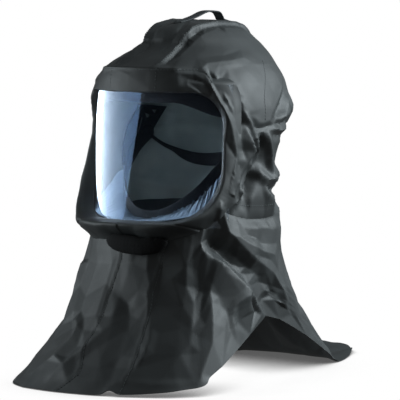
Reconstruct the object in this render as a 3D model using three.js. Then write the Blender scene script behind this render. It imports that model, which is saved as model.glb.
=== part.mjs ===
// Respirator hood: cloth hood with a curved visor, a shoulder cape and a head harness inside.
// Millimetres, +Z up, the visor faces -Y, the wearer's left is +X.
import * as THREE from 'three';

// Driving dimensions
const CLOTH = 2.2;            // wall of the coated cloth
const GAP = 0.6;              // clearance between neighbouring pieces
const COLUMNS = 64;           // columns round the hood and the cape
const NECK_Z = 214;           // seam between hood and cape
const VISOR_RADIUS = 130;     // bend of the visor
const VISOR_THICK = 1.6;
const VISOR_TOP_Y = -4;       // centre of the bend at the top of the visor
const VISOR_FOOT_Y = -15;     // centre of the bend at its foot
const WINDOW = { half: 73.125, low: 222, high: 424 };   // opening in the hood: degrees, heights
// From the hood's upright axis to the middle of the footprint
const SHIFT = new THREE.Vector3(-4.8, -59.2, 0);

const rad = (degrees) => degrees * Math.PI / 180;
const clamp = (x, low = 0, high = 1) => Math.min(high, Math.max(low, x));
const smooth = (x) => clamp(x) * clamp(x) * (3 - 2 * clamp(x));

// Tables: the first column is the parameter, the others are blended smoothly between rows
function table(names, rows) {
  return { names, rows };
}

function look(tab, x) {
  const { names, rows } = tab;
  const last = rows.length - 1;
  let k = 0;
  while (k < last - 1 && x > rows[k + 1][0]) k += 1;
  const before = rows[Math.max(k - 1, 0)];
  const a = rows[k];
  const b = rows[k + 1];
  const after = rows[Math.min(k + 2, last)];
  const h = b[0] - a[0];
  const q = clamp((x - a[0]) / h);
  const out = {};
  names.forEach((name, c) => {
    const ma = h * (b[c] - before[c]) / (b[0] - before[0]);
    const mb = h * (after[c] - a[c]) / (after[0] - a[0]);
    const q2 = q * q;
    const q3 = q2 * q;
    out[name] = a[c] * (2 * q3 - 3 * q2 + 1) + ma * (q3 - 2 * q2 + q)
      + b[c] * (3 * q2 - 2 * q3) + mb * (q3 - q2);
  });
  return out;
}

// Level sections of the hood, from the crown to the neck seam
const SECTIONS = table(
  ['v', 'z', 'half', 'front', 'back', 'mid', 'power'],
  [
    [0.00, 511, 0, 28, 28, 28, 2.0],
    [0.05, 509.5, 27, -14, 70, 28, 2.0],
    [0.10, 506, 41, -38, 88, 27, 2.0],
    [0.16, 499, 53, -56, 102, 25, 2.0],
    [0.23, 488, 66, -66, 113, 22, 2.0],
    [0.31, 475, 79, -73, 131, 18, 2.0],
    [0.38, 462, 93, -101, 139, 13, 2.1],
    [0.45, 449, 105, -129, 140, 9, 2.25],
    [0.51, 436, 112, -139, 145, 6, 2.35],
    [0.57, 422, 118, -139, 150, 3, 2.45],
    [0.63, 406, 122, -135, 153, 0, 2.5],
    [0.68, 389, 125, -135, 155, 0, 2.5],
    [0.73, 371, 126, -136, 150, 0, 2.5],
    [0.78, 353, 125, -138, 138, 0, 2.5],
    [0.83, 334, 122, -140, 120, 0, 2.5],
    [0.87, 316, 119, -142, 108, 0, 2.5],
    [0.91, 292, 118, -144, 108, 0, 2.5],
    [0.95, 262, 121, -146, 108, 0, 2.5],
    [0.98, 236, 123, -147, 116, 0, 2.45],
    [1.00, 214, 117, -148, 120, 0, 2.35],
  ],
);

// Folds of the hood: ridge from one place to the other, in degrees round from the front and height
const HOOD_FOLDS = [
  { fold: 'temple fold, upper', from: [44, 446], to: [80, 366], width: 17, height: 6 },
  { fold: 'temple fold, middle', from: [58, 452], to: [83, 370], width: 13, height: -5 },
  { fold: 'temple fold, lower', from: [68, 440], to: [84, 366], width: 13, height: 5 },
  { fold: 'knot', from: [84, 362], to: [88, 354], width: 17, height: -8 },
  { fold: 'gather to the back', from: [88, 358], to: [140, 352], width: 13, height: -6 },
  { fold: 'puff above the gather', from: [98, 384], to: [150, 380], width: 24, height: 5 },
  { fold: 'cheek roll', from: [84, 340], to: [80, 250], width: 24, height: 8 },
  { fold: 'valley behind the roll', from: [97, 340], to: [96, 262], width: 17, height: -7 },
  { fold: 'back roll', from: [112, 288], to: [168, 284], width: 17, height: 7 },
  { fold: 'neck groove', from: [104, 262], to: [170, 259], width: 14, height: -8 },
  { fold: 'neck roll', from: [80, 242], to: [160, 240], width: 14, height: 5 },
  { fold: 'temple fold, right', from: [-48, 446], to: [-81, 368], width: 17, height: 6 },
  { fold: 'temple dent, right', from: [-62, 450], to: [-83, 370], width: 13, height: -5 },
  { fold: 'knot, right', from: [-84, 362], to: [-88, 354], width: 17, height: -8 },
  { fold: 'gather to the back, right', from: [-88, 358], to: [-140, 352], width: 13, height: -6 },
  { fold: 'puff above the gather, right', from: [-98, 384], to: [-150, 380], width: 24, height: 5 },
  { fold: 'cheek roll, right', from: [-84, 340], to: [-80, 250], width: 24, height: 8 },
  { fold: 'back roll, right', from: [-112, 290], to: [-168, 284], width: 19, height: 7 },
  { fold: 'neck groove, right', from: [-104, 262], to: [-170, 259], width: 14, height: -7 },
];

// Folds of the cape: degrees round from the front and share of the way from neck to hem
const CAPE_FOLDS = [
  { fold: 'bib ridge', from: [46, 0.10], to: [88, 0.98], width: 24, height: 8 },
  { fold: 'hollow in front of the ridge', from: [36, 0.20], to: [62, 0.98], width: 24, height: -6 },
  { fold: 'neck fold', from: [66, 0.04], to: [120, 0.32], width: 18, height: 9 },
  { fold: 'neck hollow', from: [64, 0.18], to: [108, 0.50], width: 17, height: -7 },
  { fold: 'lower neck fold', from: [92, 0.10], to: [128, 0.22], width: 14, height: 6 },
  { fold: 'bib fold, middle', from: [8, 0.24], to: [14, 0.95], width: 26, height: 4 },
  { fold: 'bib hollow, right', from: [-22, 0.30], to: [-30, 0.95], width: 28, height: -5 },
  { fold: 'bib ridge, right', from: [-46, 0.10], to: [-88, 0.98], width: 24, height: 7 },
  { fold: 'neck fold, right', from: [-66, 0.06], to: [-120, 0.34], width: 18, height: 8 },
  { fold: 'back fold, left', from: [150, 0.10], to: [146, 0.55], width: 22, height: 6 },
  { fold: 'back hollow', from: [178, 0.12], to: [172, 0.55], width: 26, height: -6 },
  { fold: 'back fold, right', from: [-152, 0.10], to: [-148, 0.55], width: 22, height: 6 },
];

// Hem of the cape: where each column reaches its foot, then how far it trails over the floor
const HEM = table(
  ['angle', 'x', 'y', 'z', 'tail_x', 'tail_y'],
  [
    [-30, -104, -249, 1.5, 0, 0],
    [-15, -54, -255, 1.5, 0, 0],
    [0, 0, -252, 1.5, 0, 0],
    [15, 58, -241, 1.5, 0, 0],
    [30, 116, -214, 6, 0, 0],
    [43, 166, -174, 20, 0, 0],
    [52, 159, -136, 34, 0, 0],
    [65, 141, -78, 55, 0, 0],
    [79, 120, -14, 78, 0, 0],
    [92, 107, 32, 90, 0, 0],
    [104, 105, 87, 71, 0, 0],
    [117, 104, 155, 40, 0, 0],
    [129, 103, 222, CLOTH, 1, 6],
    [142, 78, 235, CLOTH, 7, 48],
    [155, 50, 240, CLOTH, 8, 94],
    [168, 24, 242, CLOTH, 8, 120],
    [180, 0, 243, CLOTH, -6, 128],
    [192, -24, 242, CLOTH, -16, 130],
    [205, -50, 240, CLOTH, -16, 106],
    [218, -78, 235, CLOTH, -10, 62],
    [231, -101, 222, CLOTH, -2, 8],
    [243, -104, 155, 40, 0, 0],
    [256, -105, 87, 71, 0, 0],
    [268, -107, 32, 90, 0, 0],
    [281, -120, -14, 78, 0, 0],
    [295, -138, -85, 50, 0, 0],
    [308, -152, -156, 22, 0, 0],
    [317, -154, -212, 2, 0, 0],
    [330, -104, -249, 1.5, 0, 0],
    [345, -54, -255, 1.5, 0, 0],
    [360, 0, -252, 1.5, 0, 0],
    [375, 58, -241, 1.5, 0, 0],
  ],
);
const FLARE = 1.75;           // how late the cape spreads on its way down

// Height of a fold at a place: a smooth ridge or dent along a straight run
function foldHeight(folds, u, w, perU, perW) {
  let sum = 0;
  for (const f of folds) {
    const du = (f.to[0] - f.from[0]) * perU;
    const dw = (f.to[1] - f.from[1]) * perW;
    const pu = (u - f.from[0]) * perU;
    const pw = (w - f.from[1]) * perW;
    const along = clamp((pu * du + pw * dw) / (du * du + dw * dw));
    const away = Math.hypot(pu - along * du, pw - along * dw) / f.width;
    const ends = 0.35 + 0.65 * smooth(Math.min(along, 1 - along) / 0.25);
    if (away < 1) sum += f.height * ends * (1 - away * away) ** 2;
  }
  return sum;
}

const signed = (angle) => ((angle + 540) % 360) - 180;

function normalOf(place, u, w, du, dw) {
  const a = place(u + du, w).sub(place(u - du, w));
  const b = place(u, w + dw).sub(place(u, w - dw));
  return b.cross(a).normalize();
}

// Plain form of the hood at an angle and a level, then the same with its folds
function hoodForm(angle, v) {
  const s = look(SECTIONS, clamp(v));
  const q = rad(angle);
  const e = 2 / s.power;
  const x = s.half * Math.sign(Math.sin(q)) * Math.abs(Math.sin(q)) ** e;
  const c = Math.cos(q);
  const depth = c > 0 ? s.mid - s.front : s.back - s.mid;
  const y = s.mid - Math.sign(c) * depth * Math.abs(c) ** e;
  return new THREE.Vector3(x, y, s.z);
}

function hoodPoint(angle, v) {
  const p = hoodForm(angle, v);
  const near = smooth((Math.abs(signed(angle)) - 77) / 8) + smooth((p.z - 447) / 12);
  const h = foldHeight(HOOD_FOLDS, signed(angle), p.z, 2.15, 1) * clamp(near);
  if (h === 0) return p;
  return p.addScaledVector(normalOf(hoodForm, angle, Math.max(v, 0.02), 1, 0.01), h);
}

function levelOf(z) {
  let low = 0;
  let high = 1;
  for (let k = 0; k < 40; k += 1) {
    const v = (low + high) / 2;
    if (look(SECTIONS, v).z > z) low = v;
    else high = v;
  }
  return (low + high) / 2;
}

// Cape: a column falls from the neck to its foot, spreading late, then trails over the floor
function capeForm(angle, t) {
  const top = hoodForm(angle, 1);
  const wrap = angle < -30 ? angle + 360 : angle;
  const h = look(HEM, wrap > 375 ? wrap - 360 : wrap);
  const path = [];
  for (let k = 0; k <= 16; k += 1) {
    const s = k / 16;
    const f = s ** FLARE;
    path.push(new THREE.Vector3(
      top.x + (h.x - top.x) * f,
      top.y + (h.y - top.y) * f,
      NECK_Z - GAP + (h.z - NECK_Z + GAP) * s,
    ));
  }
  const tail = Math.hypot(h.tail_x, h.tail_y);
  if (tail > 4) {
    for (let k = 1; k <= 6; k += 1) {
      path.push(new THREE.Vector3(h.x + h.tail_x * k / 6, h.y + h.tail_y * k / 6, h.z));
    }
  }
  const run = [0];
  for (let k = 1; k < path.length; k += 1) run.push(run[k - 1] + path[k].distanceTo(path[k - 1]));
  const want = clamp(t) * run[run.length - 1];
  let k = 1;
  while (k < path.length - 1 && run[k] < want) k += 1;
  const q = (want - run[k - 1]) / (run[k] - run[k - 1]);
  return path[k - 1].clone().lerp(path[k], q);
}

function capePoint(angle, t) {
  const p = capeForm(angle, t);
  const h = foldHeight(CAPE_FOLDS, signed(angle), t, 2.3, 230) * smooth(t / 0.08);
  const lift = smooth((p.z - 6) / 30);
  if (h === 0 || lift === 0) return p;
  const n = normalOf(capeForm, angle, clamp(t, 0.02, 0.98), 1, 0.02);
  return p.addScaledVector(n, h * lift);
}

// Outer cloth surface at an angle and a height, whichever of the two cloths is there
function clothPoint(angle, z, off = 0) {
  const onHood = z >= NECK_Z;
  const place = onHood ? hoodPoint : capePoint;
  const w = onHood ? levelOf(z) : (NECK_Z - z) / NECK_Z;
  const n = normalOf(place, angle, clamp(w, 0.02, 0.98), 1, 0.01);
  return place(angle, w).addScaledVector(n, off);
}

// Place inside the hood, a given way in from its plain form
function insidePoint(angle, z, deep) {
  const v = levelOf(z);
  return hoodForm(angle, v).addScaledVector(normalOf(hoodForm, angle, v, 1, 0.01), -deep);
}

// Mesh helpers: every solid is closed and faces outwards
function solid(points, faces) {
  const flat = [];
  points.forEach((p) => flat.push(p.x + SHIFT.x, p.y + SHIFT.y, p.z));
  let volume = 0;
  for (const [a, b, c] of faces) {
    volume += points[a].dot(points[b].clone().cross(points[c]));
  }
  const index = [];
  for (const [a, b, c] of faces) {
    if (volume > 0) index.push(a, b, c);
    else index.push(a, c, b);
  }
  const geometry = new THREE.BufferGeometry();
  geometry.setAttribute('position', new THREE.Float32BufferAttribute(flat, 3));
  geometry.setIndex(index);
  geometry.computeVertexNormals();
  return geometry;
}

// Sheet with a wall: a grid of places, its inner copy, and an edge wherever the cloth ends
function sheet(place, us, vs, wall, shape = {}) {
  const { ring = false, pole = false, open = () => false, du = 1, dv = 0.01 } = shape;
  const points = [];
  const outer = [];
  const inner = [];
  const columns = ring ? us.length - 1 : us.length;
  for (let i = 0; i < columns; i += 1) {
    outer.push([]);
    inner.push([]);
    for (let j = 0; j < vs.length; j += 1) {
      if (pole && j === 0 && i > 0) {
        outer[i].push(outer[0][0]);
        inner[i].push(inner[0][0]);
        continue;
      }
      const p = place(us[i], vs[j]);
      p.z = Math.max(p.z, 0);
      const n = pole && j === 0 ? new THREE.Vector3(0, 0, 1) : normalOf(place, us[i], vs[j], du, dv);
      outer[i].push(points.length);
      points.push(p);
      inner[i].push(points.length);
      const within = p.clone().addScaledVector(n, -wall);
      within.z = Math.max(within.z, 0);
      points.push(within);
    }
  }
  const faces = [];
  const quad = (a, b, c, d) => {
    if (a !== b) faces.push([a, b, c]);
    if (c !== d) faces.push([a, c, d]);
  };
  const cells = us.length - 1;
  const rows = vs.length - 1;
  const kept = (i, j) => {
    const k = ring ? (i + cells) % cells : i;
    return k >= 0 && k < cells && j >= 0 && j < rows && !open(k, j);
  };
  for (let i = 0; i < cells; i += 1) {
    const n = ring ? (i + 1) % cells : i + 1;
    for (let j = 0; j < rows; j += 1) {
      if (!kept(i, j)) continue;
      quad(outer[i][j], outer[n][j], outer[n][j + 1], outer[i][j + 1]);
      quad(inner[n][j], inner[i][j], inner[i][j + 1], inner[n][j + 1]);
      if (!kept(i - 1, j)) quad(outer[i][j + 1], inner[i][j + 1], inner[i][j], outer[i][j]);
      if (!kept(i + 1, j)) quad(outer[n][j], inner[n][j], inner[n][j + 1], outer[n][j + 1]);
      if (!kept(i, j - 1) && !(pole && j === 0)) quad(outer[i][j], inner[i][j], inner[n][j], outer[n][j]);
      if (!kept(i, j + 1)) quad(outer[n][j + 1], inner[n][j + 1], inner[i][j + 1], outer[i][j + 1]);
    }
  }
  return solid(points, faces);
}

// Triangles that close the end of a loft, in the turning sense of its section
function capFaces(section) {
  const normal = new THREE.Vector3();
  section.forEach((p, k) => normal.add(p.clone().cross(section[(k + 1) % section.length])));
  normal.normalize();
  const across = section[1].clone().sub(section[0]);
  across.addScaledVector(normal, -across.dot(normal)).normalize();
  const up = normal.clone().cross(across);
  const flat = section.map((p) => new THREE.Vector2(p.dot(across), p.dot(up)));
  return THREE.ShapeUtils.triangulateShape(flat, []).map(([a, b, c]) => {
    const turn = flat[b].clone().sub(flat[a]).cross(flat[c].clone().sub(flat[a]));
    return turn > 0 ? [a, b, c] : [a, c, b];
  });
}

// Solid through a row of sections that each have the same number of corners
function loft(sections) {
  const corners = sections[0].length;
  const points = sections.flat();
  const faces = [];
  for (let k = 0; k < sections.length - 1; k += 1) {
    for (let c = 0; c < corners; c += 1) {
      const d = (c + 1) % corners;
      const at = (s, q) => s * corners + q;
      faces.push([at(k, c), at(k + 1, c), at(k + 1, d)]);
      faces.push([at(k, c), at(k + 1, d), at(k, d)]);
    }
  }
  const end = (sections.length - 1) * corners;
  capFaces(sections[0]).forEach(([a, b, c]) => faces.push([a, b, c]));
  capFaces(sections[sections.length - 1]).forEach(([a, b, c]) => faces.push([end + a, end + c, end + b]));
  return solid(points, faces);
}

function steps(from, to, count) {
  return Array.from({ length: count + 1 }, (_, k) => from + (to - from) * k / count);
}

// Hood shell: levels pass exactly through the foot and the head of the window
const windowHead = levelOf(WINDOW.high);
const windowFoot = levelOf(WINDOW.low);
const hoodLevels = [
  ...[0, 0.045, 0.10, 0.16, 0.23, 0.31, 0.37, 0.42, 0.47, 0.515],
  ...steps(windowHead, windowFoot, 10),
  1,
];
const hoodAngles = steps(-180, 180, COLUMNS);
const inWindow = (i, j) => {
  const middle = (hoodAngles[i] + hoodAngles[i + 1]) / 2;
  const level = (hoodLevels[j] + hoodLevels[j + 1]) / 2;
  return Math.abs(middle) < WINDOW.half && level > windowHead && level < windowFoot;
};
const closedTop = { ring: true, pole: true, open: inWindow };
const hoodShell = sheet(hoodPoint, hoodAngles, hoodLevels, CLOTH, closedTop);

// Shoulder cape: one cloth round the neck with a front bib, two arches and a back lobe
const capeSteps = steps(0, 1, 13);
const shoulderCape = sheet(capePoint, steps(-30, 330, COLUMNS), capeSteps, CLOTH, { ring: true, dv: 0.02 });

// Visor: part of a leaning cylinder that fits inside the window
function visorPoint(side, z, off = 0) {
  const down = clamp((WINDOW.high - z) / (WINDOW.high - WINDOW.low));
  const centre = VISOR_TOP_Y + (VISOR_FOOT_Y - VISOR_TOP_Y) * down;
  const bend = side / VISOR_RADIUS;
  const r = VISOR_RADIUS + off;
  return new THREE.Vector3(r * Math.sin(bend), centre - r * Math.cos(bend), z);
}

function visorPlace(u, w) {
  const z = WINDOW.high - 1 + (WINDOW.low + 2 - WINDOW.high) * w;
  const edge = clothPoint(WINDOW.half, z);
  const reach = VISOR_RADIUS * Math.asin(clamp((edge.x - 1.6) / VISOR_RADIUS));
  return visorPoint(u * reach, z);
}
const visor = sheet(visorPlace, steps(-1, 1, 22), steps(0, 1, 3), VISOR_THICK, { du: 0.02, dv: 0.02 });

// Frame round the visor: inner and outer edge are round-cornered, in length round the bend and height
const FRAME_IN = { half: 142, low: 236, high: 412, foot: 50, head: 36 };
const FRAME_OUT = { half: 167, low: 200, high: 446, foot: 62, head: 56 };
const FRAME_RUNS = { foot: 0.26, corner: 0.50, side: 0.70, head: 0.84 };   // share of half the frame

function frameEdge(edge, k) {
  const low = edge.low + edge.foot;
  const high = edge.high - edge.head;
  const r = FRAME_RUNS;
  if (k < r.foot) return [(edge.half - edge.foot) * k / r.foot, edge.low];
  if (k < r.corner) {
    const q = rad(90) * (k - r.foot) / (r.corner - r.foot);
    return [edge.half - edge.foot + edge.foot * Math.sin(q), low - edge.foot * Math.cos(q)];
  }
  if (k < r.side) return [edge.half, low + (high - low) * (k - r.corner) / (r.side - r.corner)];
  if (k < r.head) {
    const q = rad(90) * (k - r.side) / (r.head - r.side);
    return [edge.half - edge.head + edge.head * Math.cos(q), high + edge.head * Math.sin(q)];
  }
  return [(edge.half - edge.head) * (1 - (k - r.head) / (1 - r.head)), edge.high];
}

// How far the lip stands out from the visor, by height
const LIP = table(
  ['z', 'out'],
  [[200, 22], [236, 22], [262, 22], [285, 20], [302, 17], [319, 13], [337, 9], [354, 5],
    [371, 3.4], [450, 3.2]],
);

// Column of the cloth that lies behind a place on the visor's bend
function clothAngle(side, z) {
  const onHood = z >= NECK_Z;
  const w = onHood ? levelOf(z) : (NECK_Z - z) / NECK_Z;
  const centre = visorPoint(0, z).y + VISOR_RADIUS;
  const want = Math.abs(side) / VISOR_RADIUS;
  let low = 0;
  let high = 130;
  for (let k = 0; k < 30; k += 1) {
    const angle = (low + high) / 2;
    const p = onHood ? hoodForm(angle, w) : capeForm(angle, w);
    if (Math.atan2(p.x, centre - p.y) < want) low = angle;
    else high = angle;
  }
  return Math.sign(side) * (low + high) / 2;
}

function frameBase(side, z) {
  const angle = clothAngle(side, z);
  const pane = visorPoint(side, z, GAP + 0.8);
  const cloth = clothPoint(angle, z, GAP + 0.8);
  const clear = Math.abs(angle) < WINDOW.half - 3 && z > WINDOW.low + 6 && z < WINDOW.high - 6;
  const beside = Math.abs(angle) < WINDOW.half + 3 && z > WINDOW.low - 6 && z < WINDOW.high + 8;
  const reach = (p) => Math.hypot(p.x, p.y - VISOR_FOOT_Y);
  if (clear) return pane;
  return beside && reach(pane) > reach(cloth) ? pane : cloth;
}

function frameSection(k) {
  const half = Math.abs(k);
  const turn = Math.sign(k) || 1;
  const [si, zi] = frameEdge(FRAME_IN, half);
  const [so, zo] = frameEdge(FRAME_OUT, half);
  const base = (f) => frameBase(turn * (si + (so - si) * f), zi + (zo - zi) * f);
  const foot = base(0);
  const edge = base(1);
  const away = visorPoint(turn * si, zi, 1).sub(visorPoint(turn * si, zi, 0));
  const across = edge.clone().sub(foot).normalize();
  const { out } = look(LIP, zi);
  const crest = foot.clone().addScaledVector(away, out);
  const back = base(0.5).addScaledVector(away, 2.2 + out * 0.16);
  return [
    foot,
    crest.clone().addScaledVector(away, -0.6),
    crest.clone().addScaledVector(across, 3.5),
    back,
    edge.clone().addScaledVector(away, 1.6),
    edge,
    base(0.76),
    base(0.55),
    base(0.42),
    base(0.31),
    base(0.20),
  ];
}
const surround = loft(steps(-0.80, 0.80, 52).map(frameSection));
const brow = loft([...steps(0.806, 1, 10), ...steps(-1, -0.806, 10).slice(1)].map(frameSection));

// Carry loop: flat webbing over the crown, standing off it in the middle
const LOOP_WIDTH = 15;
const LOOP_THICK = 2.4;
const LOOP = table(
  ['s', 'y', 'rise'],
  [[0, -30, 0], [0.14, -14, 0], [0.30, 8, 3.5], [0.48, 36, 10.5], [0.62, 54, 11], [0.72, 64, 9.5],
    [0.80, 70, 4], [0.86, 74, 0], [1, 88, 0]],
);
const crownZ = (y) => {
  let best = 0;
  for (const angle of [0, 180]) {
    for (const v of steps(0, 0.45, 90)) {
      const p = hoodPoint(angle, v);
      if (Math.abs(p.y - y) < 3) best = Math.max(best, p.z);
    }
  }
  return best;
};
const loopLine = steps(0, 1, 24).map((s) => {
  const row = look(LOOP, s);
  return new THREE.Vector3(0, row.y, crownZ(row.y) + GAP + Math.max(0, row.rise));
});
const carryLoop = loft(loopLine.map((p, k) => {
  const before = loopLine[Math.max(k - 1, 0)];
  const after = loopLine[Math.min(k + 1, loopLine.length - 1)];
  const along = after.clone().sub(before).normalize();
  const up = new THREE.Vector3(0, -along.z, along.y).multiplyScalar(LOOP_THICK);
  const half = new THREE.Vector3(LOOP_WIDTH / 2, 0, 0);
  return [
    p.clone().sub(half),
    p.clone().add(half),
    p.clone().add(half).add(up),
    p.clone().sub(half).add(up),
  ];
}));

// Brow pad behind the head of the visor
const PAD = { half: 120, low: 398, high: 422, thick: 8 };
const browPad = loft(steps(-PAD.half, PAD.half, 18).map((side) => {
  const end = 1 - 0.55 * smooth((Math.abs(side) - 92) / 28);
  const low = PAD.high - (PAD.high - PAD.low) * end;
  const near = -VISOR_THICK - GAP - 0.3;
  return [
    visorPoint(side, PAD.high, near),
    visorPoint(side, low, near),
    visorPoint(side, low + 4, near - PAD.thick * end),
    visorPoint(side, PAD.high - 3, near - PAD.thick * end),
  ];
}));

// Temple plates: bent to the inside of the hood, with a long slot and two three-cornered holes
const PLATE_THICK = 3;
const PLATE_OFF = CLOTH + 6.4;      // clear of the gathers on the inside of the hood

function templePlate(turn) {
  const outline = new THREE.Shape();
  outline.moveTo(-26, 42);
  outline.lineTo(4, 44);
  outline.lineTo(18, 20);
  outline.lineTo(30, -6);
  outline.lineTo(30, -26);
  outline.lineTo(6, -42);
  outline.lineTo(-16, -30);
  outline.lineTo(-26, -6);
  outline.closePath();
  const slot = new THREE.Path();
  slot.moveTo(-18, 30);
  slot.lineTo(-18, 24);
  slot.lineTo(2, 24);
  slot.lineTo(2, 30);
  slot.closePath();
  const upper = new THREE.Path();
  upper.moveTo(-16, 14);
  upper.lineTo(-16, 2);
  upper.lineTo(-2, 14);
  upper.closePath();
  const lower = new THREE.Path();
  lower.moveTo(2, 4);
  lower.lineTo(-10, -8);
  lower.lineTo(6, -8);
  lower.closePath();
  outline.holes.push(slot, upper, lower);
  const flat = new THREE.ExtrudeGeometry(outline, { depth: PLATE_THICK, bevelEnabled: false });
  const at = flat.getAttribute('position');
  const keys = new Map();
  const points = [];
  const index = [];
  for (let k = 0; k < at.count; k += 1) {
    const key = [at.getX(k), at.getY(k), at.getZ(k)].map((c) => c.toFixed(3)).join(' ');
    if (!keys.has(key)) {
      keys.set(key, points.length);
      const angle = 113 + at.getX(k) * 0.42;
      const p = insidePoint(angle, 340 + at.getY(k), PLATE_OFF + at.getZ(k));
      p.x *= turn;
      points.push(p);
    }
    index.push(keys.get(key));
  }
  const faces = [];
  for (let k = 0; k < index.length; k += 3) faces.push(index.slice(k, k + 3));
  return solid(points, faces);
}

// Nape strap: from plate to plate round the back of the head
const STRAP = table(
  ['s', 'angle', 'z', 'deep', 'tall'],
  [[0, 118, 330, 13.9, 16], [0.2, 132, 326, 14.6, 18], [0.45, 152, 317, 16, 22], [0.7, 168, 309, 17, 30],
    [1, 180, 307, 18, 34]],
);
const napeStrap = loft(steps(-1, 1, 28).map((k) => {
  const row = look(STRAP, 1 - Math.abs(k));
  const half = row.tall / 2;
  const turn = k < 0 ? 1 : -1;
  const corner = (up, deep) => {
    const p = insidePoint(row.angle, row.z + up, row.deep + deep);
    p.x *= turn;
    return p;
  };
  return [corner(-half, 0), corner(half, 0), corner(half, 3), corner(-half, 3)];
}));

// Face seal: an elastic band in a tilted plane under the chin, and gathered cloth out to the visor
const SEAL = { half: 92, front: 96, low: 240, tilt: 42, reach: 122, tall: 17, thick: 3.2 };

function sealLine(turn) {
  const q = rad(turn);
  const y = -SEAL.front * Math.cos(q);
  const z = SEAL.low + (y + SEAL.front) * Math.tan(rad(SEAL.tilt));
  return new THREE.Vector3(SEAL.half * Math.sin(q), y, z);
}
const sealBand = loft(steps(-SEAL.reach, SEAL.reach, 36).map((turn) => {
  const p = sealLine(turn);
  const inward = new THREE.Vector3(-p.x, -p.y, 0).normalize().multiplyScalar(SEAL.thick);
  const up = new THREE.Vector3(0, 0, SEAL.tall);
  return [
    p.clone(),
    p.clone().add(inward),
    p.clone().add(inward).add(up),
    p.clone().add(up),
  ];
}));

const GATHERS = 12;
function sealPlace(turn, w) {
  const edge = sealLine(turn);
  const out = new THREE.Vector3(edge.x, edge.y, 0).normalize();
  const from = edge.clone().addScaledVector(out, GAP + 0.6).add(new THREE.Vector3(0, 0, 6));
  const z = Math.max(WINDOW.low + 12, edge.z - 4);
  const angle = clothAngle(turn / 57.3 * VISOR_RADIUS, z);
  const cloth = clothPoint(Math.abs(turn) > 60 ? turn : angle, z, -CLOTH - 3.4);
  const pane = visorPoint(turn / 57.3 * VISOR_RADIUS, z, -VISOR_THICK - 1.2);
  const blend = smooth((Math.abs(turn) - 46) / 16);
  const to = pane.lerp(cloth, blend);
  const p = from.lerp(to, w);
  const wave = Math.sin(rad(turn) * GATHERS) * 5 * Math.sin(Math.PI * clamp(w * 0.9 + 0.05));
  p.z += wave - 7 * Math.sin(Math.PI * w);
  return p;
}
const sealCloth = sheet(sealPlace, steps(-96, 96, 48), steps(0, 1, 2), 1.4, { du: 0.5, dv: 0.02 });

// Chin grip: a padded roll that hangs under the lip in front of the bib
const GRIP = { left: 34, right: -14, z: 191, tall: 11, deep: 7.5 };
const chinGrip = loft(steps(0, 1, 14).map((s) => {
  const angle = GRIP.right + (GRIP.left - GRIP.right) * s;
  const round = Math.sqrt(Math.max(0.06, 1 - Math.abs(2 * s - 1) ** 3.2));
  const z = GRIP.z + 2 * Math.sin(Math.PI * s);
  const wall = clothPoint(angle, z, GAP + GRIP.deep + 0.3);
  const away = clothPoint(angle, z, GRIP.deep + 2.8).sub(wall).normalize();
  const ring = [];
  for (let c = 0; c < 10; c += 1) {
    const q = rad(36 * c);
    const p = wall.clone().addScaledVector(away, GRIP.deep * round * Math.cos(q));
    p.z += GRIP.tall * round * Math.sin(q) - 1;
    ring.push(p);
  }
  return ring;
}));

// Materials
const coated = { color: 0x3c3f3f, roughness: 0.55, metalness: 0 };
const dark = { color: 0x0d0e0f, roughness: 0.6, metalness: 0 };
const pieces = [
  ['hood_shell', hoodShell, coated],
  ['shoulder_cape', shoulderCape, coated],
  ['brow_band', brow, coated],
  ['visor_surround', surround, coated],
  ['visor', visor, { color: 0xb9cfe6, roughness: 0.05, metalness: 0, transparent: true, opacity: 0.3 }],
  ['carry_loop', carryLoop, { color: 0x17181a, roughness: 0.8, metalness: 0 }],
  ['brow_pad', browPad, dark],
  ['temple_plate_left', templePlate(1), dark],
  ['temple_plate_right', templePlate(-1), dark],
  ['nape_strap', napeStrap, dark],
  ['face_seal_band', sealBand, dark],
  ['face_seal_cloth', sealCloth, { color: 0x8d97a3, roughness: 0.8, metalness: 0 }],
  ['chin_grip', chinGrip, dark],
];

const hood = new THREE.Group();
hood.name = 'respirator_hood';
for (const [name, geometry, finish] of pieces) {
  const mesh = new THREE.Mesh(geometry, new THREE.MeshStandardMaterial(finish));
  mesh.name = name;
  hood.add(mesh);
}

export default hood;
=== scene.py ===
# %% [markdown]
# # A respirator hood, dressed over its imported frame
# The hood is a bag of dark coated cloth with a curved clear visor, and it stands on its own flared
# cape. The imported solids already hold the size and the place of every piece. This lesson keeps them
# as a fixed frame and makes finer cloth, glass and webbing in the same place, in metres.

# %% Load the frame
import bpy
import math
import numpy as np
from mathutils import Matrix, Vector, geometry, noise


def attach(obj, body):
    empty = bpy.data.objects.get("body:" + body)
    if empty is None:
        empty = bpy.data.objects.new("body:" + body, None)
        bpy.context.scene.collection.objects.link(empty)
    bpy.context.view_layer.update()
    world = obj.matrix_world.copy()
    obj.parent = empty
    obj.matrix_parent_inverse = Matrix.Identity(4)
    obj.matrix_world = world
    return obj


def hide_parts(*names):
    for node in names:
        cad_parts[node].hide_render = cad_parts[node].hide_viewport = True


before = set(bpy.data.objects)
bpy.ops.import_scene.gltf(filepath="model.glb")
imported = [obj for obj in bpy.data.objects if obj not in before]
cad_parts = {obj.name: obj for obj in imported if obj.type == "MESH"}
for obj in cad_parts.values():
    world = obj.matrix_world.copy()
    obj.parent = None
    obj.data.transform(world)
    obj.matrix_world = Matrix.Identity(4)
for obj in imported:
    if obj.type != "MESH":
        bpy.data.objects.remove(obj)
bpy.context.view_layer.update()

# %% [markdown]
# ## Camera
# The photograph looks at the hood from the wearer's front left, a little above the middle of the
# part. A long lens four metres away keeps upright lines upright, so one camera with no shift is
# enough. Its aim, its bearing and the width of the picture were read from the outline.

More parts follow.
